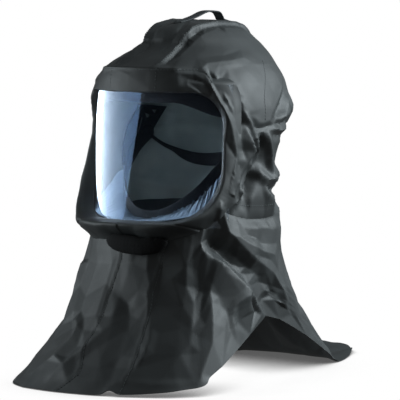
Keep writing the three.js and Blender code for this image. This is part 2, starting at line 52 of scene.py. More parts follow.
# %% Camera
AIM = Vector((0.0067, -0.0505, 0.252))
BEARING, RISE, AWAY = math.radians(37), math.radians(4.7), 4.0
PICTURE_WIDTH = 0.576         # metres across the picture at the aim


def on_bearing(bearing, rise, away):
    """Point seen from the aim under a bearing from the front and a rise above the floor."""
    flat = away * math.cos(rise)
    side = Vector((flat * math.sin(bearing), -flat * math.cos(bearing), away * math.sin(rise)))
    return AIM + side


def look_at(thing, place, aim):
    thing.location = place
    thing.rotation_euler = (aim - place).to_track_quat("-Z", "Y").to_euler()


def link(thing):
    bpy.context.scene.collection.objects.link(thing)
    return thing


eye = link(bpy.data.objects.new("eye", bpy.data.cameras.new("eye")))
eye.data.sensor_width = 36
eye.data.lens = 36 * AWAY / PICTURE_WIDTH
look_at(eye, on_bearing(BEARING, RISE, AWAY), AIM)
bpy.context.scene.camera = eye
print("camera at", [round(v, 2) for v in eye.location], "lens", round(eye.data.lens, 1))

# %% [markdown]
# ## Materials: two small tools
# A colour is easiest to pick as a hex value, but Blender mixes light in linear values, so one
# function turns the first into the second. Another adds a node, sets it and links it in one line,
# which keeps each material short enough to read as a recipe.

# %% Colour and node tools
def colour(code):
    """Linear colour from a hex value."""
    parts = [int(code[k:k + 2], 16) / 255 for k in (1, 3, 5)]
    return [c / 12.92 if c <= 0.04045 else ((c + 0.055) / 1.055) ** 2.4 for c in parts] + [1.0]


def add_node(tree, kind, links=None, values=None, **settings):
    """New node with its settings, socket values and incoming links."""
    new = tree.nodes.new(kind)
    for key, value in settings.items():
        setattr(new, key, value)
    for key, value in (values or {}).items():
        new.inputs[key].default_value = value
    for key, socket in (links or {}).items():
        tree.links.new(socket, new.inputs[key])
    return new


def new_material(name, **values):
    """Material with one principled shader, whose plain values are set on its own sockets."""
    made = bpy.data.materials.new(name)
    made.use_nodes = True
    shader = made.node_tree.nodes["Principled BSDF"]
    for key, value in values.items():
        shader.inputs[key.replace("_", " ")].default_value = value
    return made, made.node_tree, shader


def two_tone(tree, factor, low, high):
    """Colour between two hex values, from a factor."""
    ramp = add_node(tree, "ShaderNodeValToRGB", {"Fac": factor})
    ramp.color_ramp.elements[0].color = colour(low)
    ramp.color_ramp.elements[1].color = colour(high)
    ramp.color_ramp.elements[0].position = 0.3
    ramp.color_ramp.elements[1].position = 0.7
    return ramp.outputs["Color"]


def bump(tree, height, strength, distance, under=None):
    """Bump from a height, optionally on top of another bump."""
    made = add_node(tree, "ShaderNodeBump", {"Height": height},
                    {"Strength": strength, "Distance": distance})
    if under:
        tree.links.new(under, made.inputs["Normal"])
    return made.outputs["Normal"]


PER_MM = 1000.0               # texture cells of one millimetre in object space


def weave(tree, pitch_mm):
    """Height of a plain weave: two crossed sets of threads, pitch in millimetres along the UV map."""
    place = add_node(tree, "ShaderNodeTexCoord").outputs["UV"]
    rows = []
    for way in ("X", "Y"):
        wave = add_node(tree, "ShaderNodeTexWave", {"Vector": place},
                        {"Scale": PER_MM / pitch_mm / 20, "Distortion": 0.6, "Detail": 1.0},
                        wave_type="BANDS", bands_direction=way)
        rows.append(wave.outputs["Fac"])
    return add_node(tree, "ShaderNodeMath", {0: rows[0], 1: rows[1]}, operation="MULTIPLY").outputs[0]


def grain(tree, size_mm, detail=3.0):
    """Noise in object space, cells of a given size."""
    place = add_node(tree, "ShaderNodeTexCoord").outputs["Object"]
    return add_node(tree, "ShaderNodeTexNoise", {"Vector": place},
                    {"Scale": PER_MM / size_mm, "Detail": detail}).outputs["Fac"]


print("tools ready")

# %% [markdown]
# ## Coated cloth
# The hood is a tight woven cloth with a thin polymer coat. The eye sees a dark neutral grey with a
# satin gloss that gathers in soft streaks along the folds, a faint mottle, and only close by the
# threads under the coat. A fine weave and a finer grain go into the bump, and the roughness wanders
# a little, so that a highlight breaks up as it does on a coat that has been folded.

# %% Coated cloth
def coated_cloth(name, dark, light):
    made, tree, shader = new_material(name, Specular_IOR_Level=0.5, Coat_Weight=0.05,
                                      Coat_Roughness=0.42)
    cloud = grain(tree, 46, 4.0)
    tree.links.new(two_tone(tree, cloud, dark, light), shader.inputs["Base Color"])
    rough = add_node(tree, "ShaderNodeMapRange", {"Value": grain(tree, 21, 3.0)},
                     {"To Min": 0.58, "To Max": 0.68})
    tree.links.new(rough.outputs["Result"], shader.inputs["Roughness"])
    threads = bump(tree, weave(tree, 0.7), 0.10, 0.0002)
    tree.links.new(bump(tree, grain(tree, 3.0, 4.0), 0.10, 0.0006, threads), shader.inputs["Normal"])
    return made


# Uncoated inner side of the hood: lighter than the coat, and its pale grey is also painted light that
# stands in for the light inside the hood. The cape's inside keeps the dark coated cloth.
def uncoated_side_painted_light(name, dark, light):
    made, tree, shader = new_material(name, Roughness=0.85, Specular_IOR_Level=0.2)
    tree.links.new(two_tone(tree, grain(tree, 30, 4.0), dark, light), shader.inputs["Base Color"])
    tree.links.new(bump(tree, weave(tree, 0.7), 0.25, 0.0003), shader.inputs["Normal"])
    return made


hood_cloth = coated_cloth("coated cloth", "#1d2122", "#232829")
# The inner side's pale grey is partly the cloth's own tone and partly painted light inside the hood.
hood_inside_painted_light = uncoated_side_painted_light("uncoated side with painted light", "#8d9591", "#9ba39f")
print("made", hood_cloth.name, "and", hood_inside_painted_light.name)

# %% [markdown]
# ## Floor and light
# The picture is a plain product shot: a white surface, a large soft light from the right and above,
# weaker ones overhead and on the left, and a large tilted panel that the visor mirrors as a pale blue
# field with a sharp edge. The panel is linked to the visor alone, or it would flood the crown. The
# world is white where the camera sees it and dim as a light. The floor glows white, and its shadow is
# painted: an Ambient Occlusion node darkens the glow where something stands close over it.

# %% Floor and lights
FLOOR_RADIUS = 1.5


def white_floor():
    made, tree, shader = new_material("white floor with painted contact shadow", Roughness=1.0, Specular_IOR_Level=0.0,
                                      Base_Color=(0, 0, 0, 1), Emission_Strength=1.0)
    # Painted contact shadow: ambient occlusion darkens the floor's white glow where the hood stands close
    # over it.
    near = add_node(tree, "ShaderNodeAmbientOcclusion", {}, {"Distance": 0.14}, samples=12)
    shade = add_node(tree, "ShaderNodeMapRange", {"Value": near.outputs["AO"]},
                     {"From Min": 0.25, "From Max": 0.9, "To Min": 0.1, "To Max": 1.0})
    tree.links.new(shade.outputs["Result"], shader.inputs["Emission Color"])
    rim = [(FLOOR_RADIUS * math.cos(q), FLOOR_RADIUS * math.sin(q), -0.0004)
           for q in np.linspace(0, 2 * math.pi, 96, endpoint=False)]
    mesh = bpy.data.meshes.new("floor")
    mesh.from_pydata(rim, [], [list(range(len(rim)))])
    mesh.materials.append(made)
    return link(bpy.data.objects.new("floor", mesh))


floor = white_floor()
floor.visible_diffuse = False
floor.visible_glossy = False


def soft_light(name, bearing, rise, away, size, watts, tint="#ffffff", roll=0):
    """Soft box that faces the aim, turned about its own axis by roll."""
    lamp = bpy.data.lights.new(name, "AREA")
    lamp.shape = "RECTANGLE"
    lamp.size, lamp.size_y = size
    lamp.energy = watts
    lamp.color = colour(tint)[:3]
    thing = link(bpy.data.objects.new(name, lamp))
    look_at(thing, on_bearing(math.radians(bearing), math.radians(rise), away), AIM)
    thing.rotation_euler.rotate_axis("Z", math.radians(roll))
    thing.visible_camera = False
    return thing


key = soft_light("key", 133, 24, 2.4, (1.0, 1.0), 96, "#e4eff4")
top = soft_light("top", 112, 62, 2.2, (1.2, 1.2), 17, "#e4eff4")
left = soft_light("left", -57, 3, 1.8, (0.9, 0.9), 25, "#e4eff4")
panel = soft_light("panel", -84.4, 41, 0.5, (1.2, 1.62), 58, "#dff0ff", roll=44.7)

world = bpy.data.worlds.new("studio")
bpy.context.scene.world = world
world.use_nodes = True
tree = world.node_tree
path = add_node(tree, "ShaderNodeLightPath")
level = add_node(tree, "ShaderNodeMapRange", {"Value": path.outputs["Is Camera Ray"]},
                 {"To Min": 0.14, "To Max": 1.0})
tree.links.new(level.outputs["Result"], tree.nodes["Background"].inputs["Strength"])
tree.nodes["Background"].inputs["Color"].default_value = (1, 1, 1, 1)
bpy.context.scene.view_settings.view_transform = "Standard"
print("lights", [t.name for t in (key, top, left, panel)])

# %% [markdown]
# ## The cloth as a surface
# A sewn hood is a closed form with folds on top of it. The form is a stack of rounded sections, and a
# short table gives each section's height, half width, front and back. Angle 0 is the visor, 90 the
# wearer's left, 180 the nape. A smooth blend between rows makes one surface, which is easier to keep
# to the photograph's outline than a sculpted mesh.

# %% Tables to surfaces
AXIS = np.array([-4.8, -59.2, 0.0])     # the hood's upright axis in the frame, millimetres


def clamp(x, low=0.0, high=1.0):
    return np.minimum(np.maximum(x, low), high)


def ease(x):
    q = clamp(x)
    return q * q * (3 - 2 * q)


def blend(rows, x):
    """Smooth value of a table at x; the first column is x, the answer holds the other columns."""
    rows = np.asarray(rows, float)
    x = np.asarray(x, float)
    k = np.clip(np.searchsorted(rows[:, 0], x) - 1, 0, len(rows) - 2)
    a, b = rows[k], rows[k + 1]
    before, after = rows[np.maximum(k - 1, 0)], rows[np.minimum(k + 2, len(rows) - 1)]
    step = (b - a)[..., :1]
    q = clamp((x - a[..., 0])[..., None] / step)
    out = step * (b - before) / (b - before)[..., :1]
    into = step * (after - a) / (after - a)[..., :1]
    mixed = a * (2 * q**3 - 3 * q**2 + 1) + out * (q**3 - 2 * q**2 + q)
    mixed = mixed + b * (3 * q**2 - 2 * q**3) + into * (q**3 - q**2)
    return np.moveaxis(mixed[..., 1:], -1, 0)


# share from crown to neck, height, half width, front, back, widest place, squareness
SECTIONS = [
    (0.00, 511, 0, 28, 28, 28, 2), (0.05, 509.5, 27, -14, 70, 28, 2), (0.10, 506, 41, -38, 88, 27, 2),
    (0.16, 499, 53, -56, 102, 25, 2), (0.23, 488, 66, -66, 113, 22, 2), (0.31, 475, 79, -73, 131, 18, 2),
    (0.38, 462, 93, -101, 139, 13, 2.1), (0.445, 450.5, 103.5, -124, 140, 10, 2.2),
    (0.47, 446.5, 106, -133, 141, 9, 2.25), (0.51, 436, 112, -135, 145, 6, 2.35),
    (0.57, 422, 118, -135, 150, 3, 2.45), (0.63, 406, 122, -134.5, 153, 0, 2.5),
    (0.68, 389, 125, -135, 155, 0, 2.5),
    (0.73, 371, 126, -136, 150, 0, 2.5), (0.78, 353, 125, -138, 138, 0, 2.5),
    (0.83, 334, 122, -140, 120, 0, 2.5), (0.87, 316, 119, -142, 108, 0, 2.5),
    (0.91, 292, 118, -144, 108, 0, 2.5), (0.95, 262, 121, -146, 108, 0, 2.5),
    (0.98, 236, 121.5, -147, 114, 0, 2.45), (1.00, 214, 122, -149, 121, 0, 2.4),
]


def hood_form(angle, share):
    """Plain form of the hood, millimetres from its axis."""
    z, half, front, back, mid, power = blend(SECTIONS, clamp(share))
    turn = np.radians(angle)
    s, c = np.sin(turn), np.cos(turn)
    x = half * np.sign(s) * np.abs(s) ** (2 / power)
    deep = np.where(c > 0, mid - front, back - mid)
    return np.stack([x, mid - np.sign(c) * deep * np.abs(c) ** (2 / power), z], -1)


LEVELS = np.linspace(0, 1, 2001)
HEIGHTS = blend(SECTIONS, LEVELS)[0]


def share_at(z):
    """Share of the way from crown to neck at a height."""
    return np.interp(-np.asarray(z, float), -HEIGHTS, LEVELS)


# angle, height of the neck seam, where the hood ends and the cape starts
NECK = [(-181, 234), (-110, 232), (-92, 230), (-78, 214), (0, 214), (36, 214), (45, 222), (55, 240),
        (62, 250),
        (72, 241), (81, 235), (91, 231), (106, 231), (122, 234), (181, 234)]


def neck_share(angle):
    return share_at(blend(NECK, (np.asarray(angle, float) + 180) % 360 - 180)[0])


def hood_at(angle, z):
    return hood_form(np.asarray(angle, float), share_at(z))


print("hood form", np.round(hood_at(90.0, 371.0), 1))

# %% [markdown]
# ## Folds as ridges and valleys
# A fold starts somewhere, runs along a line and dies out, with one flank often steeper than the other.
# So each fold is a row of a table: points along its crest with a height there, the width of its left
# and right flank, and how crisp the crest is. Every point of the cloth looks for its nearest place on
# the crest and rises by the profile: a round wave where crisp is 0, a tent with flat sides where it is
# 1. A cloth simulation would give folds too, but not these folds.

# %% Fold tool
def smooth_line(points, per_step=6):
    """Catmull-Rom line through points."""
    p = np.asarray(points, float)
    p = np.vstack([2 * p[0] - p[1], p, 2 * p[-1] - p[-2]])
    q = np.linspace(0, 1, per_step, endpoint=False)[:, None]
    runs = []
    for a, b, c, d in zip(p[:-3], p[1:-2], p[2:-1], p[3:]):
        runs.append(0.5 * (2 * b + (c - a) * q + (2 * a - 5 * b + 4 * c - d) * q**2
                           + (3 * b - a - 3 * c + d) * q**3))
    return np.vstack(runs + [p[-2:-1]])


def fold_rise(place, normal, form, crest, right_hand, left_hand, crisp):
    """Rise of one fold at every place; crest rows are two surface coordinates and a height."""
    line = smooth_line(crest)
    at = form(line[:, 0], line[:, 1])
    reach = max(right_hand, left_hand)
    rise = np.zeros(len(place))
    near = np.where(np.all((place > at.min(0) - reach) & (place < at.max(0) + reach), axis=1))[0]
    p, n = place[near], normal[near]
    best = np.full(len(near), 1e9)
    side = np.zeros(len(near))
    tall = np.zeros(len(near))
    for a, b, low, high in zip(at[:-1], at[1:], line[:-1, 2], line[1:, 2]):
        run = b - a
        along = clamp((p - a) @ run / max(run @ run, 1e-9))
        away = p - a - along[:, None] * run
        far = np.linalg.norm(away, axis=1)
        closer = far < best
        best[closer] = far[closer]
        tall[closer] = (low + (high - low) * along)[closer]
        side[closer] = np.einsum("ij,ij->i", away, np.cross(run, n))[closer]
    q = best / np.where(side > 0, right_hand, left_hand)
    q = clamp(np.sqrt(q * q + 0.0036) - 0.06)
    soft = (1 - q) ** 2 * (1 + 2 * q)
    rise[near] = tall * (soft + (1 - q - soft) * (0.4 + 0.6 * crisp))
    return rise


def surface_normals(grid, ring):
    """Outward normals of a grid of points: columns go round to the left, rows go down."""
    if ring:
        across = np.roll(grid, -1, 0) - np.roll(grid, 1, 0)
    else:
        across = np.gradient(grid, axis=0)
    down = np.gradient(grid, axis=1)
    n = np.cross(down, across)
    return n / np.maximum(np.linalg.norm(n, axis=-1, keepdims=True), 1e-9)


def facets(u, v, wide, tall, rise, seed):
    """Crumpled facets: random heights on a warped three-cornered lattice, flat in between."""
    random = np.random.default_rng(seed)
    table = random.uniform(-1, 1, (64, 64))
    bend = random.uniform(0, 6.28, 4)
    a = u / wide + 0.35 * np.sin(v / tall * 2.1 + bend[0]) + 0.25 * np.sin(u / wide * 1.3 + bend[1])
    b = v / tall + 0.35 * np.sin(u / wide * 1.7 + bend[2]) + 0.25 * np.sin(v / tall * 1.1 + bend[3])
    a = a + 0.5 * b
    i, j = np.floor(a).astype(int), np.floor(b).astype(int)
    x, y = a - i, b - j
    corner = table[i % 64, j % 64]
    right = table[(i + 1) % 64, j % 64]
    below = table[i % 64, (j + 1) % 64]
    far = table[(i + 1) % 64, (j + 1) % 64]
    lower = corner + (right - corner) * x + (far - right) * y
    upper = corner + (below - corner) * y + (far - below) * x
    return rise * np.where(x > y, lower, upper)


print("fold tool ready")

# %% [markdown]
# ## The folds of the hood
# Three deep folds run from the end of the brow band down to a gather at the temple. Below it the
# cloth makes a flap along the side of the visor, a hollow behind the flap, and rolls round the neck.
# Each row gives a crest as angle, height and rise in millimetres, then the flank on the right hand
# and on the left hand of someone walking along the crest, then how crisp it is. The wearer's right
# side, which the photograph doesn't show, has the same folds, moved a little and made lower.

# %% Hood folds
HOOD_FOLDS = {
    "band end": ([(33, 438, 0), (41, 430, -5), (46, 423, -7), (51, 413, -6), (55, 402, 0)], 8, 10, 0.5),
    "temple roll": ([(49, 447, 0), (53, 438, 5), (56, 418, 8), (59, 402, 8), (63, 384, 7), (66, 370, 2)],
                    10, 8, 0.5),
    "temple crease": ([(55, 445, 0), (57, 435, -5), (59, 422, -7), (61.5, 406, -7), (64, 391, 0)],
                      8, 7, 0.5),
    "thin roll": ([(60, 435, 0), (61, 428, 5), (62.5, 415, 7), (65.5, 400, 7), (69, 388, 6),
                   (71, 379, 0)],
                  7, 7, 0.5),
    "temple hollow": ([(61, 437, 0), (63, 429, -4), (66, 418, -5), (69.5, 402, -6), (73, 386, -6),
                       (77, 368, -5), (80, 357, -1)], 11, 14, 0.4),
    "side panel edge": ([(65, 441, 0), (68, 430, 2), (71, 417, 3), (75.5, 395, 3), (80.5, 377, 4),
                         (84.5, 360, 4), (86, 349, 0)], 10, 16, 0.5),
    "tab slot": ([(77, 395, 0), (80, 386, -2), (83, 379, -3), (86, 368, -5), (87, 361, -4), (87, 356, 0)],
                 7, 8, 0.5),
    "gather seam": ([(85, 360, 0), (88, 360, -3), (92, 360, -4), (95, 362, -3), (98, 364, 0)],
                    5, 6, 0.8),
    "brow crease": ([(44, 447, 0), (56, 451, 2.5), (68, 453, 3), (80, 457, 2.5),
                     (96, 463, 0)], 12, 12, 0.3),
    "back drape": ([(126, 430, 0), (120, 412, -5), (112, 396, -8), (102, 374, -6), (96, 364, 0)],
                   12, 14, 0.4),
    "back ray, upper": ([(95, 363, 0), (99, 367, 3), (106, 371, 4), (118, 376, 3), (134, 381, 0)],
                        8, 10, 0.4),
    "back ray, valley": ([(96, 361, 0), (104, 364, -3), (114, 366, -3), (130, 367, 0)], 7, 7, 0.4),
    "back ray, lower": ([(96, 358, 0), (102, 356, 4), (112, 355, 4), (128, 356, 0)], 8, 8, 0.4),
    "back ray, last": ([(97, 354, 0), (104, 348, -4), (116, 345, -4), (140, 344, 0)], 9, 9, 0.4),
    "pleat under the gather": ([(86.5, 355, 0), (87.5, 346, 5), (89, 333, 6), (89.5, 320, 4),
                                (89.5, 307, 0)], 6, 6, 0.3),
    "pleat valley": ([(90, 355, 0), (91, 345, -6), (92, 330, -6), (92, 313, 0)], 5, 6, 0.4),
    "second pleat": ([(93, 357, 0), (95, 346, 6), (98, 331, 8), (102, 310, 7), (108, 290, 4),
                      (112, 279, 0)], 9, 10, 0.3),
    "flap edge": ([(77, 368, 0), (80, 357, 6), (83.5, 343, 10), (86, 330, 11), (83.5, 317, 10),
                   (80, 303, 9), (77, 290, 9), (73, 273, 8), (68, 254, 6), (63, 240, 4), (57, 227, 0)],
                  24, 6, 0.3),
    "flap ridge": ([(64, 385, 0), (67, 365, 6), (70, 344, 9), (73, 325, 10), (72, 308, 9), (70, 290, 7),
                    (67, 268, 0)], 15, 15, 0.5),
    "hollow behind the flap": ([(91, 324, 0), (89, 307, -9), (87, 290, -13), (84, 272, -12),
                                (79, 254, -7),
                                (74, 242, 0)], 9, 15, 0.1),
    "cheek ridge": ([(84, 317, 0), (87, 306, 5), (92, 293, 8), (99, 284, 10), (108, 283, 8),
                     (122, 288, 3), (136, 290, 0)], 9, 14, 0.4),
    "under the cheek ridge": ([(97, 280, 0), (103, 275, -5), (110, 271, -6), (124, 267, -5),
                               (140, 265, 0)],
                              8, 9, 0.4),
    "tucked roll": ([(93, 282, 0), (96, 272, 5), (101, 262, 7), (107, 255, 6),
                     (120, 253, 0)], 8, 10, 0.6),
    "small loop": ([(74, 292, 0), (77, 280, 4), (80, 268, 6), (81, 256, 0)], 7, 7, 0.5),
    "low ridge": ([(69, 271, 0), (73, 263, 4), (78, 252, 6), (84, 240, 2), (87, 233, 0)], 8, 8, 0.5),
    "neck seam": ([(63, 253, 0), (72, 241, -4), (81, 235, -5), (91, 231, -6), (106, 231, -5),
                   (122, 234, 0)],
                  4, 5, 0.8),
    "neck fold": ([(60, 262, 0), (62, 252, 5), (63, 240, 6), (65, 228, 8)], 8, 12, 0.5),
    "back of the head": ([(112, 392, 0), (130, 386, 5), (152, 382, 5), (168, 384, 0)], 20, 24, 0.0),
    "nape gather": ([(120, 356, 0), (136, 352, -6), (156, 350, -5), (176, 350, 0)], 12, 12, 0.2),
    "back roll": ([(114, 292, 0), (132, 288, 7), (154, 285, 8), (178, 284, 4)], 14, 16, 0.1),
    "back groove": ([(110, 262, 0), (128, 261, -8), (152, 259, -9), (178, 259, -5)], 12, 12, 0.2),
    "neck roll": ([(112, 243, 0), (130, 241, 6), (152, 240, 6), (178, 241, 3)], 12, 12, 0.1),
    "nape drape": ([(150, 440, 0), (146, 400, -4), (150, 360, -5), (158, 330, 0)], 12, 12, 0.3),
    "back pleat": ([(128, 425, 0), (126, 395, -4), (128, 350, -5), (134, 300, 0)], 10, 14, 0.4),
    "nape pleat": ([(168, 430, 0), (166, 400, 4), (168, 360, 5), (172, 300, 0)], 12, 9, 0.4),
}
HIDDEN_SIDE = 0.5             # rise of the folds on the wearer's right
HOOD_DEGREE = 2.15            # millimetres of cloth for each degree round the hood
CAPE_DEGREE = 2.6             # the same on the wider cape
# distance from front to back, half the seams' spacing, height of the crown there
CROWN_SEAM = [(-124, 36, 450), (-96, 35, 462), (-66, 32, 478), (-46, 35, 493), (-20, 37, 503),
              (10, 38, 506),
              (40, 38, 506), (70, 37, 503), (100, 36, 494), (125, 34, 478), (140, 33, 455)]
# distance from front to back, rise of the welt, depth of the puckered valley outside it
CROWN_WELT = [(-124, 0, 0), (-110, 3, -3), (-90, 4, -6), (-76, 4.5, -3), (-62, 5, -8), (-50, 4.5, -4),
              (-38, 4.5, -8), (-22, 4, -3), (0, 3.5, -4), (30, 3, -3), (70, 3, -3), (110, 3, -3),
              (136, 0, 0)]


def crown_at(y, half):
    """Place on the crown beside a seam; the second coordinate is the share of the seams' spacing."""
    x, z = blend(CROWN_SEAM, y)
    return np.stack([x * half, np.asarray(y, float), z], -1)


def crown_folds(place, normal):
    """Rise of the two welts over the crown and of the valleys beside them."""
    rise = 0
    for side in (1, -1):
        tall = 1.0 if side > 0 else 1.8          # the wearer's right welt stands up more
        welt = [(y, side * 0.97, tall * up) for y, up, down in CROWN_WELT]
        valley = [(y, side * 1.16, tall * down) for y, up, down in CROWN_WELT]
        inner, outer = (14, 5) if side > 0 else (5, 14)
        rise = rise + fold_rise(place, normal, crown_at, welt, outer, inner, 0.6)
        rise = rise + fold_rise(place, normal, crown_at, valley, 9, 9, 0.5)
    return rise


def hood_folds():
    """Every fold on both sides, as rows of the fold tool."""
    random = np.random.default_rng(11)
    for crest, right_hand, left_hand, crisp in HOOD_FOLDS.values():
        yield crest, right_hand, left_hand, crisp
        turn, lift = random.uniform(-1.5, 1.5), random.uniform(-3, 3)
        other = [(-a + turn, z + lift, rise * HIDDEN_SIDE) for a, z, rise in crest]
        yield other, left_hand, right_hand, crisp


def crumple(place, size, rise, seed):
    """Low uneven waves all over the cloth, from seeded noise in space."""
    shift = Vector((seed * 7.3, seed * 3.1, seed * 5.7))
    return rise * np.array([noise.noise(Vector(p) / size + shift) for p in place])


def round_length(place, per_degree):
    """Length round the hood's axis, at so many millimetres for each degree."""
    return np.degrees(np.arctan2(place[..., 0], -place[..., 1])) * per_degree


def hood_rise(place, normal):
    """Rise of the hood's cloth over its plain form."""
    rise = sum(fold_rise(place, normal, hood_at, *fold) for fold in hood_folds())
    rise = rise + crown_folds(place, normal)
    round_way = round_length(place, HOOD_DEGREE)
    calm = 1 - 0.55 * ease((place[:, 2] - 390) / 40)
    rise = rise + calm * facets(round_way, place[:, 2], 34, 48, 1.8, 8)
    return rise + crumple(place, 70, 1.4, 1) + crumple(place, 26, 0.4, 2)


print(len(HOOD_FOLDS), "folds on each side")

# %% [markdown]
# ## Cloth with a thickness
# A grid of points becomes cloth when it gets an inner side and an edge all round. Blender's Solidify
# could add them; making both sides here keeps the crown's pole, the window and the UV map clean. The
# UV map is in metres, so that a weave has its true pitch.

# %% Cloth from a grid
def runs(steps):
    return np.concatenate([[0.0], np.cumsum(steps)])


def add_piece(name, points, faces, material, uv=None):
    """Object from points in millimetres round the hood's axis."""
    mesh = bpy.data.meshes.new(name)
    mesh.from_pydata(((np.asarray(points) + AXIS) * 0.001).tolist(), [], faces)
    if uv is not None:
        mesh.uv_layers.new(name="UVMap").data.foreach_set("uv", np.asarray(uv, np.float32).ravel())
    mesh.polygons.foreach_set("use_smooth", [True] * len(mesh.polygons))
    mesh.materials.append(material)
    mesh.validate()
    mesh.set_sharp_from_angle(angle=np.radians(50))
    return link(bpy.data.objects.new(name, mesh))


def cloth_piece(name, grid, material, thick, ring=False, keep=None, crown=False, inside=None):
    """Cloth piece from a grid whose columns go round to the left and whose rows go down."""
    columns, rows = grid.shape[:2]
    inner = grid - thick * surface_normals(grid, ring)
    cells = columns if ring else columns - 1
    keep = np.ones((cells, rows - 1), bool) if keep is None else keep
    wide = np.linalg.norm(np.diff(np.concatenate([grid, grid[:1]]), axis=0), axis=-1).mean(1)
    tall = np.linalg.norm(np.diff(grid, axis=1), axis=-1).mean(0)
    us, vs = runs(wide[:cells]) * 0.001, runs(tall) * 0.001
    first = columns * rows
    faces, uv = [], []

    def face(corners):
        faces.append([(i % columns) * rows + j + first * side for i, j, side in corners])
        uv.extend((us[i], -vs[j]) for i, j, side in corners)

    def kept(i, j):
        i = i % cells if ring else i
        return 0 <= i < cells and 0 <= j < rows - 1 and keep[i, j]

    for i in range(cells):
        for j in range(rows - 1):
            if not keep[i, j]:
                continue
            n, d = i + 1, j + 1
            face([(i, j, 0), (i, d, 0), (n, d, 0), (n, j, 0)])
            face([(n, j, 1), (n, d, 1), (i, d, 1), (i, j, 1)])
            if not kept(i - 1, j):
                face([(i, d, 0), (i, j, 0), (i, j, 1), (i, d, 1)])
            if not kept(n, j):
                face([(n, j, 0), (n, d, 0), (n, d, 1), (n, j, 1)])
            if not kept(i, j - 1) and not (crown and j == 0):
                face([(i, j, 0), (n, j, 0), (n, j, 1), (i, j, 1)])
            if not kept(i, d):
                face([(n, d, 0), (i, d, 0), (i, d, 1), (n, d, 1)])
    if crown:
        face([(i, 0, 0) for i in range(columns)])
        face([(i, 0, 1) for i in reversed(range(columns))])
    points = np.concatenate([grid.reshape(-1, 3), inner.reshape(-1, 3)])
    piece = add_piece(name, points, faces, material, uv)
    if inside:
        piece.data.materials.append(inside)
        within = [all(v >= first for v in face) for face in faces]
        piece.data.polygons.foreach_set("material_index", np.array(within, np.int32))
    print(name, len(piece.data.polygons), "faces")
    return piece

# %% [markdown]
# ## Creases
# Coated cloth doesn't bend in two ways at once: it breaks into flat facets that meet in creases. So the
# folded surface is drawn again between chosen points, close together where it bends and far apart where
# it is calm, with flat triangles between them, and the creases are then eased a little. Blender's
# Decimate does much the same, but it would lose the grid that the thickness, the window and the UV map
# are made from.

# %% Crease tool
CREASE_EASE = 0.15            # share of the creases that is smoothed away again


def eased(field, times):
    """Field of a ring-shaped grid averaged with its neighbours round and down the grid."""
    for _ in range(times):
        field = 0.5 * field + 0.25 * (np.roll(field, 1, 0) + np.roll(field, -1, 0))
        inner = 0.5 * field[:, 1:-1] + 0.25 * (field[:, :-2] + field[:, 2:])
        field = np.concatenate([field[:, :1], inner, field[:, -1:]], 1)
    return field


def chosen_points(rise, us, vs, fine, coarse, seed):
    """Grid places for the corners of the facets."""
    columns, rows = rise.shape
    sharp = np.abs(rise - eased(rise, 5))
    gap = coarse - (coarse - fine) * clamp(sharp / 0.7)
    taken = np.zeros(rise.shape, bool)
    edge = [(i, j) for i in range(0, columns, 3) for j in (0, rows - 1)]
    edge += [(0, j) for j in range(4, rows - 1, 4)]
    order = np.argsort(-(sharp + np.random.default_rng(seed).uniform(0, 0.04, rise.shape)), axis=None)
    points = []
    for i, j in edge + [divmod(int(k), rows) for k in order]:
        if taken[i, j]:
            continue
        points.append((i, j))
        g = gap[i, j]
        a, b = np.searchsorted(us[:columns], [us[i] - g, us[i] + g])
        c, d = np.searchsorted(vs, [vs[j] - g, vs[j] + g])
        near = (us[a:b, None] - us[i]) ** 2 + (vs[None, c:d] - vs[j]) ** 2 < g * g
        taken[a:b, c:d] |= near
    return points + [(columns, j) for i, j in points if i == 0]


def creased(grid, rise, fine, coarse, share, seed):
    """Ring-shaped grid broken into flat facets by a share from 0 to 1."""
    columns, rows = rise.shape
    closed = np.concatenate([grid, grid[:1]])
    us = runs(np.linalg.norm(np.diff(closed, axis=0), axis=-1).mean(1))
    vs = runs(np.linalg.norm(np.diff(grid, axis=1), axis=-1).mean(0))
    points = chosen_points(rise, us, vs, fine, coarse, seed)
    found = geometry.delaunay_2d_cdt([Vector((us[i], vs[j])) for i, j in points], [], [], 0, 0.0001)
    flat = closed.copy()
    for corners in found[2]:
        ijs = [points[found[3][k][0]] for k in corners]
        (i0, i1), (j0, j1) = [(min(c), max(c) + 1) for c in zip(*ijs)]
        (ax, ay), (bx, by), (cx, cy) = [(us[i], vs[j]) for i, j in ijs]
        whole = (bx - ax) * (cy - ay) - (cx - ax) * (by - ay)
        if abs(whole) < 1e-6:
            continue
        u, v = us[i0:i1, None], vs[None, j0:j1]
        b = ((u - ax) * (cy - ay) - (cx - ax) * (v - ay)) / whole
        c = ((bx - ax) * (v - ay) - (u - ax) * (by - ay)) / whole
        within = (b > -1e-6) & (c > -1e-6) & (b + c < 1 + 1e-6)
        pa, pb, pc = [closed[i, j] for i, j in ijs]
        drawn = pa + b[..., None] * (pb - pa) + c[..., None] * (pc - pa)
        flat[i0:i1, j0:j1][within] = drawn[within]
    share = np.asarray(share)[..., None] if np.ndim(share) else share
    broken = grid + (flat[:columns] - grid) * share
    return (1 - CREASE_EASE) * broken + CREASE_EASE * eased(broken, 1), len(points)


print("crease tool ready")

# %% [markdown]
# ## Hood
# The hood is one continuous cloth from the crown to the neck seam, with a window for the visor. The
# grid is finest on the side that the picture shows, where the tucks are sharp. A face closes the small
# ring at the top of the crown.

# %% Hood cloth
WINDOW = {"half": 73.0, "low": 222.0, "high": 424.0}
# angle, height of the window's foot, which rises under the lip on the wearer's left
WINDOW_FOOT = [(-181, 222), (0, 222), (36, 222), (46, 230), (55, 246), (68, 270), (75, 276), (181, 276)]
HOOD_THICK = 1.2


def rise_on(plain, normal, rise):
    """Rise of the folds over every point of a grid."""
    return rise(plain.reshape(-1, 3), normal.reshape(-1, 3)).reshape(plain.shape[:2])


def hood_cut(angle, share):
    """The hood's form down to the neck seam only."""
    return hood_form(angle, share * neck_share(angle))


